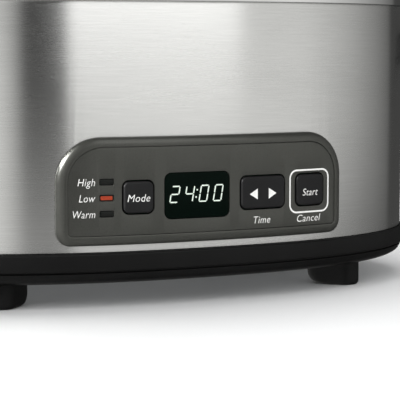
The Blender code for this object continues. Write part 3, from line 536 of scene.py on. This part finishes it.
def make_base_ring():
    """A band over a groove over a narrower foot band, with a lip that the shell stands round."""
    lower, upper = HALF_DEPTH + 0.5 * MM, HALF_DEPTH + 1.5 * MM
    foot, groove, seat = RING_LOW.z, RING_LOW.z + 6 * MM, SHELL_LOW.z - GAP
    lip_outer = HALF_DEPTH - SHELL_THICK - GAP
    lip_inner = lip_outer - 3.5 * MM
    inner = HALF_DEPTH - 7 * MM
    flange_low = PLATE_HIGH.z + GAP
    corners = [
        (inner, foot, 0.3 * MM),
        (lower - 5.6 * MM, foot, 1.2 * MM),
        (lower - 1.6 * MM, foot + 1.9 * MM, 2.4 * MM),
        (lower, groove - 0.45 * MM, 0.4 * MM),
        (lower - 1.3 * MM, groove - 0.25 * MM, 0.15 * MM),
        (lower - 1.3 * MM, groove + 0.35 * MM, 0.15 * MM),
        (upper, groove + 0.6 * MM, 0.7 * MM),
        (upper, seat, 1.3 * MM),
        (lip_outer, seat, 0),
        (lip_outer, RING_HIGH.z, 0.4 * MM),
        (lip_inner, RING_HIGH.z, 0.4 * MM),
        (lip_inner, flange_low + 1.8 * MM, 0.4 * MM),
        (inner - 7 * MM, flange_low + 1.8 * MM, 0.3 * MM),
        (inner - 7 * MM, flange_low, 0.3 * MM),
        (inner, flange_low, 0),
    ]
    bm = oval_mesh(softened(corners))
    piece("base_moulding", bm, BASE_BLACK, "housing", ["base_ring"])


def make_base_plate():
    low, high = PLATE_LOW.z, PLATE_HIGH.z
    bore, edge, soft = 2.9 * MM, PLATE_HIGH.y, 0.5 * MM
    section = [(bore, low, 0), (edge, low, soft), (edge, high, soft), (bore, high, 0)]
    bm = oval_mesh(softened(section, 2))
    slots = []
    for side in (-1, 1):
        for i in range(5):
            middle = side * (80 + 7 * i) * MM
            points = [(middle + px, py) for px, py in slot_outline(1.5 * MM, 14 * MM)]
            slots.append(slab(points, low - 5 * MM, high + 5 * MM, depth_axis="z"))
    bm = carve(bm, joined(slots))
    piece("floor_plate", bm, ZINC, "housing", ["base_plate"])


def slot_outline(half_width, half_length):
    straight = half_length - half_width
    points = arc((0, straight), half_width, 0, 180, 8)
    return points + arc((0, -straight), half_width, 180, 360, 8)


def make_feet():
    """Rubber feet, rounded below, whose end towards the middle of the body slopes up."""
    half_length, radius, slope_length, slope_height = 14 * MM, 8 * MM, 7.5 * MM, 6.4 * MM
    top, straight = PLATE_LOW.z - GAP, half_length - radius
    neck, root, over_plate = 1.9 * MM, 10 * MM, PLATE_HIGH.z + GAP
    stem = [(0, root), (neck, root), (neck, over_plate), (3.6 * MM, over_plate)]
    for name in ("foot_front_left", "foot_front_right", "foot_rear_left", "foot_rear_right"):
        low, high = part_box(name)
        middle = (low + high) / 2
        points = arc((straight, 0), radius, -90, 90, 24) + arc((-straight, 0), radius, 90, 270, 24)
        bm = slab(points, top, 0, 2 * MM, 5, "z")
        sliced(bm, 0.8 * MM, 2)
        for v in bm.verts:
            if v.co.x < 0 and v.co.z < slope_height:
                share = 1 - v.co.z / slope_height
                v.co.x += slope_length * (1 - math.sqrt(1 - share**2))
        heading = math.atan2(math.copysign(1, middle.y), math.copysign(1, middle.x))
        turn = Matrix.Translation((middle.x, middle.y, 0)) @ Matrix.Rotation(heading, 4, "Z")
        bmesh.ops.transform(bm, matrix=turn, verts=bm.verts)
        barb = spun_at(stem + [(2.2 * MM, high.z), (0, high.z)], (middle.x, middle.y, 0), steps=24)
        piece(name + "_rubber", carve(bm, barb, "UNION"), FOOT_RUBBER, "housing", [name])


def make_top_rim():
    low, high = RIM_LOW.z, RIM_HIGH.z
    skirt, inside = RIM_HIGH.y, HALF_DEPTH + GAP
    lip = HALF_DEPTH - 14.8 * MM
    groove_inner, seat = HALF_DEPTH - SHELL_THICK - GAP, LINER_HIGH.z + GAP
    corners = [
        (skirt, low, 0.5 * MM),
        (skirt, high, 4.5 * MM),
        (lip, high, 2 * MM),
        (lip, seat, 0.3 * MM),
        (groove_inner, seat, 0),
        (groove_inner, SHELL_HIGH.z + GAP, 0),
        (inside, SHELL_HIGH.z + GAP, 0),
        (inside, low, 0.3 * MM),
    ]
    piece("rim_band", oval_mesh(softened(corners, 6)), POLISHED, "housing", ["top_rim"])


def make_liner():
    floor, corner, flange = LINER_LOW.z + MM, 12 * MM, LINER_HIGH.y
    wall = 72.6 * MM
    outer = [(0, LINER_LOW.z)] + arc((wall, floor + corner), corner + MM, -90, -6, 10)
    outer += [(95.6 * MM, LINER_HIGH.z - MM), (flange, LINER_HIGH.z - MM), (flange, LINER_HIGH.z)]
    inner = [(0, floor)] + arc((wall, floor + corner), corner, -90, -6, 10)
    inner += [(94.6 * MM, LINER_HIGH.z - 2 * MM), (95.2 * MM, LINER_HIGH.z)]
    bm = oval_mesh(outer + inner[::-1], closed=False)
    piece("heating_well", bm, ZINC, "housing", ["inner_liner"])


def make_handles():
    wall = oval_mesh(rod_section(HALF_DEPTH + GAP, 0.08, 0.17), closed=False)
    spare = bpy.data.meshes.new("wall")
    wall.to_mesh(spare)
    wall.free()
    for name, side in (("handle_left", -1), ("handle_right", 1)):
        low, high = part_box(name)
        reach, half = max(abs(low.x), abs(high.x)), high.y
        bar, corner, inner_corner, root = 13 * MM, 20 * MM, 12 * MM, 130 * MM
        points = [(root, -half)] + arc((reach - corner, -half + corner), corner, -90, 0, 14)
        points += arc((reach - corner, half - corner), corner, 0, 90, 14) + [(root, half)]
        inner_half, inner_reach = half - bar - MM, reach - bar + MM
        x, y = inner_reach - inner_corner, inner_half - inner_corner
        points += [(root, inner_half)] + arc((x, y), inner_corner, 90, 0, 10)
        points += arc((x, -y), inner_corner, 0, -90, 10)
        points.append((root, -inner_half))
        bm = slab([(side * x, y) for x, y in points], low.z, high.z, depth_axis="z")
        edges = [e for e in bm.edges if abs(e.verts[0].co.z - e.verts[1].co.z) < 1e-7]
        bevel(bm, edges, 4.5 * MM, 6)
        cutting = bmesh.new()
        cutting.from_mesh(spare)
        bm = carve(bm, cutting)
        piece(name + "_grip", bm, HANDLE_BLACK, "housing", [name])


def make_gland():
    low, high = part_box("cord_gland")
    middle = (low + high) / 2
    bore, thread, flange = 3.9 * MM, 6.8 * MM, (high.x - low.x) / 2
    outside = HALF_DEPTH + GAP
    corners = [(bore, low.y, 0.3 * MM), (thread, low.y, 0.4 * MM), (thread, outside, 0)]
    corners += [(flange, outside, 0.4 * MM), (flange, outside + 3 * MM, 1.2 * MM)]
    corners += [(flange - 2 * MM, high.y, 1 * MM), (bore, high.y, 0.8 * MM)]
    bm = spun_at(softened(corners), (middle.x, 0, middle.z), (0, 1, 0), closed=True)
    piece("cord_bushing", bm, BASE_BLACK, "housing", ["cord_gland"])


# ---------------------------------------------------------------- control panel
KEY_NAMES = ("mode_button", "time_rocker", "start_button")
INDICATOR_NAMES = ("high_indicator", "low_indicator", "warm_indicator")
KEY_HALVES = {"mode_button": (8.2, 8.4), "time_rocker": (13.2, 8.7), "start_button": (9.2, 8.5)}


def key_hole(name):
    """(low, high) corners in front view of the hole that a key stands in."""
    low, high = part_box(name)
    middle = (low + high) / 2
    half_width, half_height = KEY_HALVES[name]
    half = Vector((half_width, 0, half_height)) * MM
    return middle - half, middle + half


def face_cutters():
    cutters = [slab(box_outline(*key_hole(name)), 0.02, -0.02) for name in KEY_NAMES]
    cutters.append(slab(box_outline(*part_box("display_window"), GAP), 0.02, -0.02))
    for name in INDICATOR_NAMES:
        cutters.append(slab(box_outline(*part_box(name), GAP, 0.6 * MM), 0.02, -0.02))
    return joined(cutters)


def make_bezel():
    """A frame whose edge rises in a round slope to a ridge, then drops to the shelf under the fascia."""
    rise = 1.2 * MM
    bm = slab(panel_outline(), -GAP, -rise)
    top = min(bm.faces, key=lambda f: f.calc_center_median().y)
    steps, width, height = 9, RIDGE - 0.5 * MM, PROUD - rise
    place = (0.0, 0.0)
    for i in range(1, steps + 1):
        turn = math.radians(90 * i / steps)
        target = (width * (1 - math.cos(turn)), height * math.sin(turn))
        inset(bm, top, target[0] - place[0], target[1] - place[1])
        place = target
    inset(bm, top, 0.4 * MM, -0.06 * MM)
    inset(bm, top, 0.1 * MM, -0.1 * MM)
    inset(bm, top, 0.02 * MM, -1.7 * MM)
    bm = carve(bm, face_cutters())
    piece("bezel_frame", wrapped(bm), GUNMETAL, "housing", ["panel_bezel"], 50)


def inset(bm, face, thickness, depth):
    bmesh.ops.inset_region(bm, faces=[face], thickness=thickness, depth=depth, use_even_offset=True)


def make_fascia():
    edge = RIDGE + 0.12 * MM
    bm = slab(panel_outline(edge), -2.2 * MM, FACE, 0.25 * MM, 3)
    bm = carve(bm, face_cutters())
    front = [e for e in bm.edges if on_front_corner(e)]
    bevel(bm, front, 0.14 * MM, 3)
    piece("fascia_plate", wrapped(bm), GUNMETAL, "housing", ["panel_fascia"])


def on_front_corner(edge):
    """True on an edge between the flat face and the side of a hole."""
    level = all(abs(v.co.y - FACE) < 1e-6 for v in edge.verts)
    return level and len(edge.link_faces) == 2 and edge.calc_face_angle(0) > 1.2


def make_display():
    low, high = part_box("display_window")
    bm = slab(box_outline(low, high, 0, KEY_CORNER - GAP), -1.8 * MM, FACE + 0.25 * MM, 0.15 * MM, 2)
    piece("display_pane", wrapped(bm), LENS, "housing", ["display_window"])
    make_digits((low + high) / 2)


def make_digits(middle):
    """Four slanted seven-segment figures with a colon."""
    width, height, stroke, pitch = 4.1 * MM, 8.4 * MM, 0.64 * MM, 7.75 * MM
    lean = math.tan(math.radians(10))
    lit = {"2": "abged", "4": "fgbc", "0": "abcdef"}
    base = middle.z - height / 2 + 0.7 * MM
    start = middle.x - 1.5 * pitch - width / 2 - 1.1 * MM
    face = FACE + 0.25 * MM
    parts = []
    for i, figure in enumerate("2400"):
        left = start + i * pitch
        for segment in lit[figure]:
            points = segment_points(segment, left, base, width, height, stroke, lean)
            parts.append(slab(points, face, face - PRINT))
    colon = start + 2 * pitch - (pitch - width) / 2 - 0.1 * MM
    for rise in (0.3, 0.72):
        z = height * rise
        points = arc((colon + z * lean, base + z), 0.42 * MM, 0, 350, 14)
        parts.append(slab(points, face, face - PRINT))
    piece("display_figures", wrapped(joined(parts), 0), LIT_DIGIT, "housing", ())


def segment_points(segment, left, base, width, height, stroke, lean):
    """The six corners of one bar, leaned over."""
    half, gap = stroke / 2, 0.12 * MM
    middle = height / 2
    level = {"a": height - half, "g": middle, "d": half}
    upright = {"f": (0, middle, height), "b": (width, middle, height)}
    upright |= {"e": (0, 0, middle), "c": (width, 0, middle)}
    if segment in level:
        z = level[segment]
        points = [(gap + half, z - half), (width - gap - half, z - half), (width - gap, z)]
        points += [(width - gap - half, z + half), (gap + half, z + half), (gap, z)]
    else:
        x, low, high = upright[segment]
        low, high = low + gap + (half if low == 0 else 0), high - gap - (half if high == height else 0)
        points = [(x, low), (x + half, low + half), (x + half, high - half)]
        points += [(x, high), (x - half, high - half), (x - half, low + half)]
    return [(left + x + z * lean, base + z) for x, z in points]


def make_indicators():
    for name in INDICATOR_NAMES:
        low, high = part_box(name)
        bm = slab(box_outline(low, high, 0, 0.45 * MM, 4), 0.4 * MM, FACE + 0.35 * MM, 0.15 * MM, 2)
        piece(name + "_lens", wrapped(bm), SMOKED, "housing", [name])
        if name == "low_indicator":
            glow = slab(box_outline(low, high, -0.35 * MM, 0.35 * MM, 4), 0, -PRINT)
            bmesh.ops.translate(glow, vec=(0, FACE + 0.35 * MM, 0), verts=glow.verts)
            piece("low_indicator_glow", wrapped(glow, 0), LIT_AMBER, "housing", ())


def make_key(name, body, crown):
    low, high = key_hole(name)
    grow = -KEY_GAP
    back = -1.0 * MM
    bm = slab(box_outline(low, high, grow, KEY_CORNER - KEY_GAP, 10), back, KEY_FACE + crown, 0.9 * MM, 5)
    sliced(bm, 1.5 * MM)
    sliced(bm, 1.5 * MM, 2)
    middle, half = (low + high) / 2, (high - low) / 2
    for v in bm.verts:
        u, w = (v.co.x - middle.x) / half.x, (v.co.z - middle.z) / half.z
        if v.co.y < KEY_FACE + crown + 0.95 * MM:
            v.co.y -= crown * max(0.0, 1 - abs(u) ** 3) * max(0.0, 1 - abs(w) ** 3)
    bm = wrapped(bm, 0)
    piece(name + "_cap", bm, KEY_GREY, body, [name])


def make_keys():
    crown = 0.25 * MM
    make_key("mode_button", "mode_key", crown)
    make_key("start_button", "start_key", crown)
    make_key("time_rocker", "time_key", crown)
    arrows = []
    low, high = key_hole("time_rocker")
    middle = (low + high) / 2
    for side in (-1, 1):
        tip = middle.x - 0.4 * MM + side * 7.7 * MM
        flat = tip - side * 4.5 * MM
        points = [(tip, middle.z - 0.7 * MM), (flat, middle.z + 2 * MM), (flat, middle.z - 3.4 * MM)]
        arrows.append(slab(points, KEY_FACE - PRINT, KEY_FACE - 2 * PRINT))
    piece("time_arrows", on_crown(joined(arrows), "time_rocker", crown), INK, "time_key", ())


def on_crown(bm, name, crown):
    """Lays printing on a key's crowned face."""
    low, high = key_hole(name)
    middle, half = (low + high) / 2, (high - low) / 2
    for v in bm.verts:
        u, w = (v.co.x - middle.x) / half.x, (v.co.z - middle.z) / half.z
        v.co.y += crown * (1 - max(0.0, 1 - abs(u) ** 3) * max(0.0, 1 - abs(w) ** 3))
    return wrapped(bm, 0)


# ---------------------------------------------------------------- printing
def word_mesh(text, centre_x, base_z, width, cap_height, face):
    """A plain slanted word as a thin solid, fitted to its width and cap height."""
    curve = bpy.data.curves.new(text, "FONT")
    curve.body = text
    curve.size = 1
    curve.shear = 0.22
    curve.offset = -0.006
    curve.space_character = 1.06
    curve.extrude = 0.01
    curve.resolution_u = 4
    obj = bpy.data.objects.new(text, curve)
    bpy.context.scene.collection.objects.link(obj)
    graph = bpy.context.evaluated_depsgraph_get()
    bm = bmesh.new()
    bm.from_mesh(obj.evaluated_get(graph).to_mesh())
    bpy.data.objects.remove(obj)
    bmesh.ops.remove_doubles(bm, verts=bm.verts, dist=1e-5)
    xs = [v.co.x for v in bm.verts]
    capital = max(v.co.y for v in bm.verts)
    across, up = width / (max(xs) - min(xs)), cap_height / capital
    middle = (max(xs) + min(xs)) / 2
    for v in bm.verts:
        x, y, z = v.co
        v.co = (centre_x + (x - middle) * across, face - PRINT * (z + 0.01) / 0.02, base_z + y * up)
    return bm


def make_labels():
    row = (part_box("mode_button")[0].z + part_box("mode_button")[1].z) / 2
    cap = 3.5 * MM
    words = []
    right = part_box("low_indicator")[0].x - 2.4 * MM
    for name, text, width in zip(INDICATOR_NAMES, ("High", "Low", "Warm"), (8.3, 7.7, 10.6)):
        low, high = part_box(name)
        base = (low.z + high.z) / 2 - cap / 2
        words.append(word_mesh(text, right - width * MM / 2, base, width * MM, cap, FACE))
    time_x = sum(v.x for v in key_hole("time_rocker")) / 2
    start_x = sum(v.x for v in key_hole("start_button")) / 2
    words.append(word_mesh("Time", time_x - 0.4 * MM, row - 15.6 * MM, 9.6 * MM, cap, FACE))
    words.append(word_mesh("Cancel", start_x - 0.3 * MM, row - 16.2 * MM, 14.9 * MM, cap, FACE))
    words.append(start_frame(row))
    piece("panel_lettering", wrapped(joined(words), 0), INK, "housing", ())
    mode_x = sum(v.x for v in key_hole("mode_button")) / 2
    mode = word_mesh("Mode", mode_x - 0.2 * MM, row - 2.1 * MM, 11.4 * MM, cap, KEY_FACE - PRINT)
    piece("mode_lettering", on_crown(mode, "mode_button", 0.25 * MM), INK, "mode_key", ())
    start = word_mesh("Start", start_x - 0.2 * MM, row - 2.9 * MM, 9.6 * MM, cap, KEY_FACE - PRINT)
    piece("start_lettering", on_crown(start, "start_button", 0.25 * MM), INK, "start_key", ())


def start_frame(row):
    """The printed square line round the last key."""
    low, high = key_hole("start_button")
    middle = (low.x + high.x) / 2
    half_width, half_height, line, corner = 12.6 * MM, 11.1 * MM, 0.85 * MM, 4.5 * MM
    centre_z = row - 0.7 * MM
    outer = outline(middle, half_width, centre_z - half_height, centre_z + half_height, corner, corner)
    bm = slab(outer, FACE, FACE - PRINT)
    inner_height, inner_corner = half_height - line, corner - line
    low_z, high_z = centre_z - inner_height, centre_z + inner_height
    inner = outline(middle, half_width - line, low_z, high_z, inner_corner, inner_corner)
    bm = carve(bm, slab(inner, 0.02, -0.02))
    sliced(bm, COLUMN)
    return bm


# ---------------------------------------------------------------- crock and lid
def make_crock():
    flange, top, seat = RIM_HIGH.z + GAP, CROCK_HIGH.z, BAND_LOW.z - GAP
    floor, corner = CROCK_LOW.z, 13 * MM
    foot, head = 81.5 * MM, 91.8 * MM
    wall = 6.5 * MM
    outer = [(0, floor + 1.2 * MM), (60 * MM, floor + 1.2 * MM), (61.5 * MM, floor)]
    outer += arc((foot - corner, floor + corner), corner, -90, -6, 10)
    collar = [
        (head, 157 * MM, 3 * MM),
        (93.4 * MM, flange, 0.8 * MM),
        (105.5 * MM, flange, 1.6 * MM),
        (105.5 * MM, top, 2.2 * MM),
        (99.6 * MM, top, 1.2 * MM),
        (99.5 * MM, seat, 0.8 * MM),
        (90.5 * MM, seat, 2.2 * MM),
        (head - wall, 156 * MM, 3 * MM),
    ]
    inner_floor = floor + 7.5 * MM
    inner = arc((foot - wall - 12 * MM, inner_floor + 12 * MM), 12 * MM, -6, -90, 10) + [(0, inner_floor)]
    lead = softened([(*outer[-1], 0)] + collar + [(*inner[0], 0)], 5, closed=False)
    bm = oval_mesh(outer[:-1] + lead + inner[1:], closed=False)
    for side in (-1, 1):
        reach, half, radius, root = CROCK_HIGH.x, 34 * MM, 12 * MM, CROCK_HIGH.x - 20 * MM
        points = [(root, -half)] + arc((reach - radius, -half + radius), radius, -90, 0, 12)
        points += arc((reach - radius, half - radius), radius, 0, 90, 12) + [(root, half)]
        ear = slab([(side * x, y) for x, y in points], flange + 0.1 * MM, top - 1 * MM, depth_axis="z")
        edges = [e for e in ear.edges if abs(e.verts[0].co.z - e.verts[1].co.z) < 1e-7]
        bevel(ear, edges, 2.2 * MM, 5)
        bm = carve(bm, ear, "UNION")
    piece("stoneware_crock", bm, GLAZE, "crock", ["crock"])


def dome(r):
    rise, edge = GLASS_HIGH.z - GLASS_LOW.z - 3.6 * MM, 92 * MM
    return rise * (1 - min(1.0, r / edge) ** 2.2)


def make_lid():
    edge, bore, thick = GLASS_HIGH.y, 4.3 * MM, 3.6 * MM
    low = GLASS_LOW.z
    steps = 28
    radii = [bore] + [92 * MM * i / steps for i in range(3, steps + 1)]
    under = [(r, low + dome(r)) for r in radii]
    over = [(r, low + thick + dome(r)) for r in reversed(radii)]
    outer, soft = radii[-1], 1.2 * MM
    corners = [(outer, low, 0), (edge, low, soft), (edge, low + thick, soft), (outer, low + thick, 0)]
    rim = softened(corners, 4, False)
    bm = oval_mesh(under + rim[1:-1] + over)
    vent_low, vent_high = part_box("steam_vent")
    middle = (vent_low + vent_high) / 2
    hole = spun_at(rod_section(4 * MM, -0.02, 0.02), middle, (0.12, 0, 1), 32)
    bm = carve(bm, hole)
    piece("glass_dome", bm, GLASS, "lid", ["lid_glass"])
    make_lid_band()
    make_knob()


def make_lid_band():
    low, high = BAND_LOW.z, BAND_HIGH.z
    lip, inner, outer = 93.6 * MM, GLASS_HIGH.y + GAP, BAND_HIGH.y
    glass_low, glass_high = GLASS_LOW.z - GAP, GLASS_LOW.z + 3.9 * MM
    corners = [
        (lip, low, 0.5 * MM),
        (outer, low, 1.0 * MM),
        (outer, high, 2.0 * MM),
        (lip, high, 0.6 * MM),
        (lip, glass_high, 0.1 * MM),
        (inner, glass_high, 0),
        (inner, glass_low, 0),
        (lip, glass_low, 0.1 * MM),
    ]
    piece("lid_hoop", oval_mesh(softened(corners)), POLISHED, "lid", ["lid_band"])


def make_knob():
    seat = KNOB_LOW.z
    profile = [(2.4, 0, 0), (13, 0, 0.4), (12.8, 1.8, 1.2), (9.2, 4.8, 3), (8.5, 9.5, 4), (11, 14.2, 3)]
    profile += [(18.2, 18.2, 3), (20.2, 21.8, 2.4), (18.8, 26.2, 2.6), (15, 27, 0.6)]
    profile += [(14.4, 27, 0.2), (14.4, 25.4, 0)]
    corners = [(r * MM, seat + z * MM, soft * MM) for r, z, soft in profile]
    well = seat + 13 * MM
    corners = [(0, well, 0), (2.4 * MM, well, 0)] + corners + [(0, seat + 25.4 * MM, 0)]
    bm = spun_mesh(softened(corners, 6, closed=False), 96, closed=False)
    piece("knob_grip", bm, HANDLE_BLACK, "lid", ["lid_knob"])
    low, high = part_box("knob_cap")
    radius = high.x
    cap = [(0, low.z, 0), (radius - 0.3 * MM, low.z, 0.2 * MM), (radius, low.z + 0.4 * MM, 0.3 * MM)]
    cap += [(radius - 0.9 * MM, low.z + 1.3 * MM, 0.6 * MM), (radius * 0.5, high.z - 0.25 * MM, 3 * MM)]
    cap.append((0, high.z, 0))
    bm = spun_mesh(softened(cap, 5, closed=False), 96, closed=False)
    piece("knob_disc", bm, POLISHED, "lid", ["knob_cap"])


# ---------------------------------------------------------------- finishes for the pieces kept from the frame
KEPT = {
    ZINC: ("heater_strap", "support_bracket", "centre_bolt", "centre_nut", "transformer")
    + ("temperature_sensor",),
    MICA: ("heater_band",),
    WOOL: ("insulation_wrap",),
    POLISHED: ("steam_vent", "knob_screw"),
    GASKET: ("knob_washer", "thermal_fuse"),
    BASE_BLACK: ("gland_nut", "terminal_block"),
    LAMINATE: ("control_board", "power_board"),
    CASES: ("display_module", "relay", "mode_switch", "start_switch", "time_down_switch", "time_up_switch"),
    KEY_GREY: ("mode_switch_stem", "start_switch_stem", "time_down_stem", "time_up_stem"),
    WHITE_COVER: ("heater_lead_neutral", "sensor_lead", "ribbon_cable"),
    RED_COVER: ("heater_lead_live",),
}


def dress_kept_nodes():
    finishes = {name: finish for finish, names in KEPT.items() for name in names}
    for side in ("left", "right"):
        for end in ("front", "rear"):
            finishes[f"handle_{side}_screw_{end}"] = ZINC
    for name, finish in finishes.items():
        for material_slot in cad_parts[name].material_slots:
            material_slot.material = finish


# ---------------------------------------------------------------- studio
def make_floor():
    bm = bmesh.new()
    bmesh.ops.create_circle(bm, cap_ends=True, radius=4, segments=96)
    mesh = bpy.data.meshes.new("worktop")
    bm.to_mesh(mesh)
    bm.free()
    floor = bpy.data.objects.new("worktop", mesh)
    bpy.context.scene.collection.objects.link(floor)
    look = Finish("pale_worktop", (0.86, 0.865, 0.87), 0.45)
    look.colour(look.noise(3, 2), (0.85, 0.855, 0.86), (0.88, 0.885, 0.89))
    mesh.materials.append(look.material)
    floor.visible_glossy = False


# brightness of the studio walls by bearing from the front, in degrees
WALLS = ((-180, 0.3), (-125, 0.8), (-85, 1.0), (-60, 0.8), (-32, 0.76), (-26, 0.42), (-22, 0.02))
WALLS += ((-7.8, 0.02), (-5.8, 0.66), (3, 0.69), (15, 0.74), (35, 0.84), (48, 0.82), (61, 0.62))
WALLS += ((81, 0.35), (97, 0.2), (104, 0.15), (107, 0.06), (150, 0.05), (180, 0.3))
# the same for the light that comes up off the worktop
WORKTOP_GLOW = ((-180, 0.5), (-60, 0.8), (-36, 0.75), (-22, 0.4), (-8, 0.36), (0, 0.55), (20, 0.5))
WORKTOP_GLOW += ((40, 0.38), (61, 0.2), (81, 0.1), (97, 0.07), (120, 0.07), (180, 0.3))
CEILING = 0.07
ROOM_TINT = 0.985          # blue, as a share of red and green
BACKDROP = (0.84, 0.845, 0.85, 1)


def make_world():
    """Bright and dark walls round a softly lit room. Seen directly it is plain and pale."""
    world = bpy.data.worlds.new("studio")
    bpy.context.scene.world = world
    world.use_nodes = True
    nodes, links = world.node_tree.nodes, world.node_tree.links
    direction = nodes.new("ShaderNodeTexCoord").outputs["Generated"]
    split = nodes.new("ShaderNodeSeparateXYZ")
    links.new(direction, split.inputs[0])
    back = math_node(nodes, links, "MULTIPLY", split.outputs["Y"], -1.0)
    turn = math_node(nodes, links, "ARCTAN2", split.outputs["X"], back)
    share = math_node(nodes, links, "MULTIPLY_ADD", turn, 0.5 / math.pi, 0.5)
    walls = round_ramp(nodes, links, share, WALLS)
    worktop = round_ramp(nodes, links, share, WORKTOP_GLOW)
    below = smooth_range(nodes, links, split.outputs["Z"], -0.08, -0.4)
    low = mixed(nodes, links, below, walls, worktop)
    high = smooth_range(nodes, links, split.outputs["Z"], 0.36, 0.66)
    room = mixed(nodes, links, high, low, (CEILING, CEILING, CEILING, 1))
    seen = nodes.new("ShaderNodeLightPath").outputs["Is Camera Ray"]
    links.new(mixed(nodes, links, seen, room, BACKDROP), nodes["Background"].inputs["Color"])


def round_ramp(nodes, links, share, levels):
    """Brightness that changes with the direction round the room."""
    ramp = nodes.new("ShaderNodeValToRGB")
    stops = ramp.color_ramp.elements
    stops.remove(stops[-1])
    for i, (degrees, level) in enumerate(levels):
        place = degrees / 360 + 0.5
        stop = stops[0] if i == 0 else stops.new(place)
        stop.position = place
        stop.color = (level, level, level * ROOM_TINT, 1)
    links.new(share, ramp.inputs[0])
    return ramp.outputs["Color"]


def smooth_range(nodes, links, value, start, end):
    """0 at the start and 1 at the end, with soft ends."""
    node = nodes.new("ShaderNodeMapRange")
    node.interpolation_type = "SMOOTHSTEP"
    node.inputs["From Min"].default_value = start
    node.inputs["From Max"].default_value = end
    links.new(value, node.inputs["Value"])
    return node.outputs["Result"]


def mixed(nodes, links, share, one, other):
    node = nodes.new("ShaderNodeMix")
    node.data_type = "RGBA"
    for socket, value in ((node.inputs[0], share), (node.inputs[6], one), (node.inputs[7], other)):
        if isinstance(value, (float, tuple)):
            socket.default_value = value
        else:
            links.new(value, socket)
    return node.outputs[2]


def math_node(nodes, links, operation, value, *numbers):
    node = nodes.new("ShaderNodeMath")
    node.operation = operation
    links.new(value, node.inputs[0])
    for i, number in enumerate(numbers, 1):
        if isinstance(number, float):
            node.inputs[i].default_value = number
        else:
            links.new(number, node.inputs[i])
    return node.outputs[0]


def area_light(name, degrees, height, distance, size, power, mirrored=True, spreads=True):
    """A square softbox at a bearing from the front and a height angle, aimed at the cooker.

    A light that isn't mirrored shows in no reflection, and one that doesn't spread is only a reflection.
    """
    light = bpy.data.lights.new(name, "AREA")
    light.shape = "SQUARE"
    light.size = size
    light.energy = power
    lamp = bpy.data.objects.new(name, light)
    lamp.visible_glossy = mirrored
    lamp.visible_diffuse = spreads
    turn, rise = math.radians(degrees), math.radians(height)
    target = Vector((0, 0, 0.08))
    way = Vector((math.sin(turn) * math.cos(rise), -math.cos(turn) * math.cos(rise), math.sin(rise)))
    lamp.location = target + way * distance
    lamp.rotation_euler = (-way).to_track_quat("-Z", "Y").to_euler()
    bpy.context.scene.collection.objects.link(lamp)


def make_camera():
    """A long lens, a little to the left of the front and a little above, close on the panel."""
    heading, dip, distance = math.radians(25.44), math.radians(5.48), 0.9237
    target = Vector((0.0472, 0, 0.0408))
    forward = Vector((math.sin(heading) * math.cos(dip), math.cos(heading) * math.cos(dip), -math.sin(dip)))
    data = bpy.data.cameras.new("camera")
    data.sensor_width = 36
    data.lens = 146.5
    data.clip_start = 0.02
    camera = bpy.data.objects.new("camera", data)
    camera.location = target - forward * distance
    camera.rotation_euler = forward.to_track_quat("-Z", "Y").to_euler()
    bpy.context.scene.collection.objects.link(camera)
    bpy.context.scene.camera = camera


make_camera()
make_shell()
make_base_ring()
make_base_plate()
make_feet()
make_top_rim()
make_liner()
make_handles()
make_gland()
make_bezel()
make_fascia()
make_display()
make_indicators()
make_keys()
make_labels()
make_crock()
make_lid()
dress_kept_nodes()
make_floor()
make_world()
area_light("left_glint", -80, 27, 1.5, 0.35, 70, spreads=False)
area_light("front_softbox", 12, 38, 2.2, 1.5, 10)
area_light("top_fill", 170, 76, 1.9, 1.6, 33, mirrored=False)
area_light("front_fill", -35, 40, 2.2, 1.6, 28, mirrored=False)
area_light("right_fill", 100, 24, 2.2, 1.4, 12, mirrored=False)
bpy.context.scene.view_settings.view_transform = "Standard"
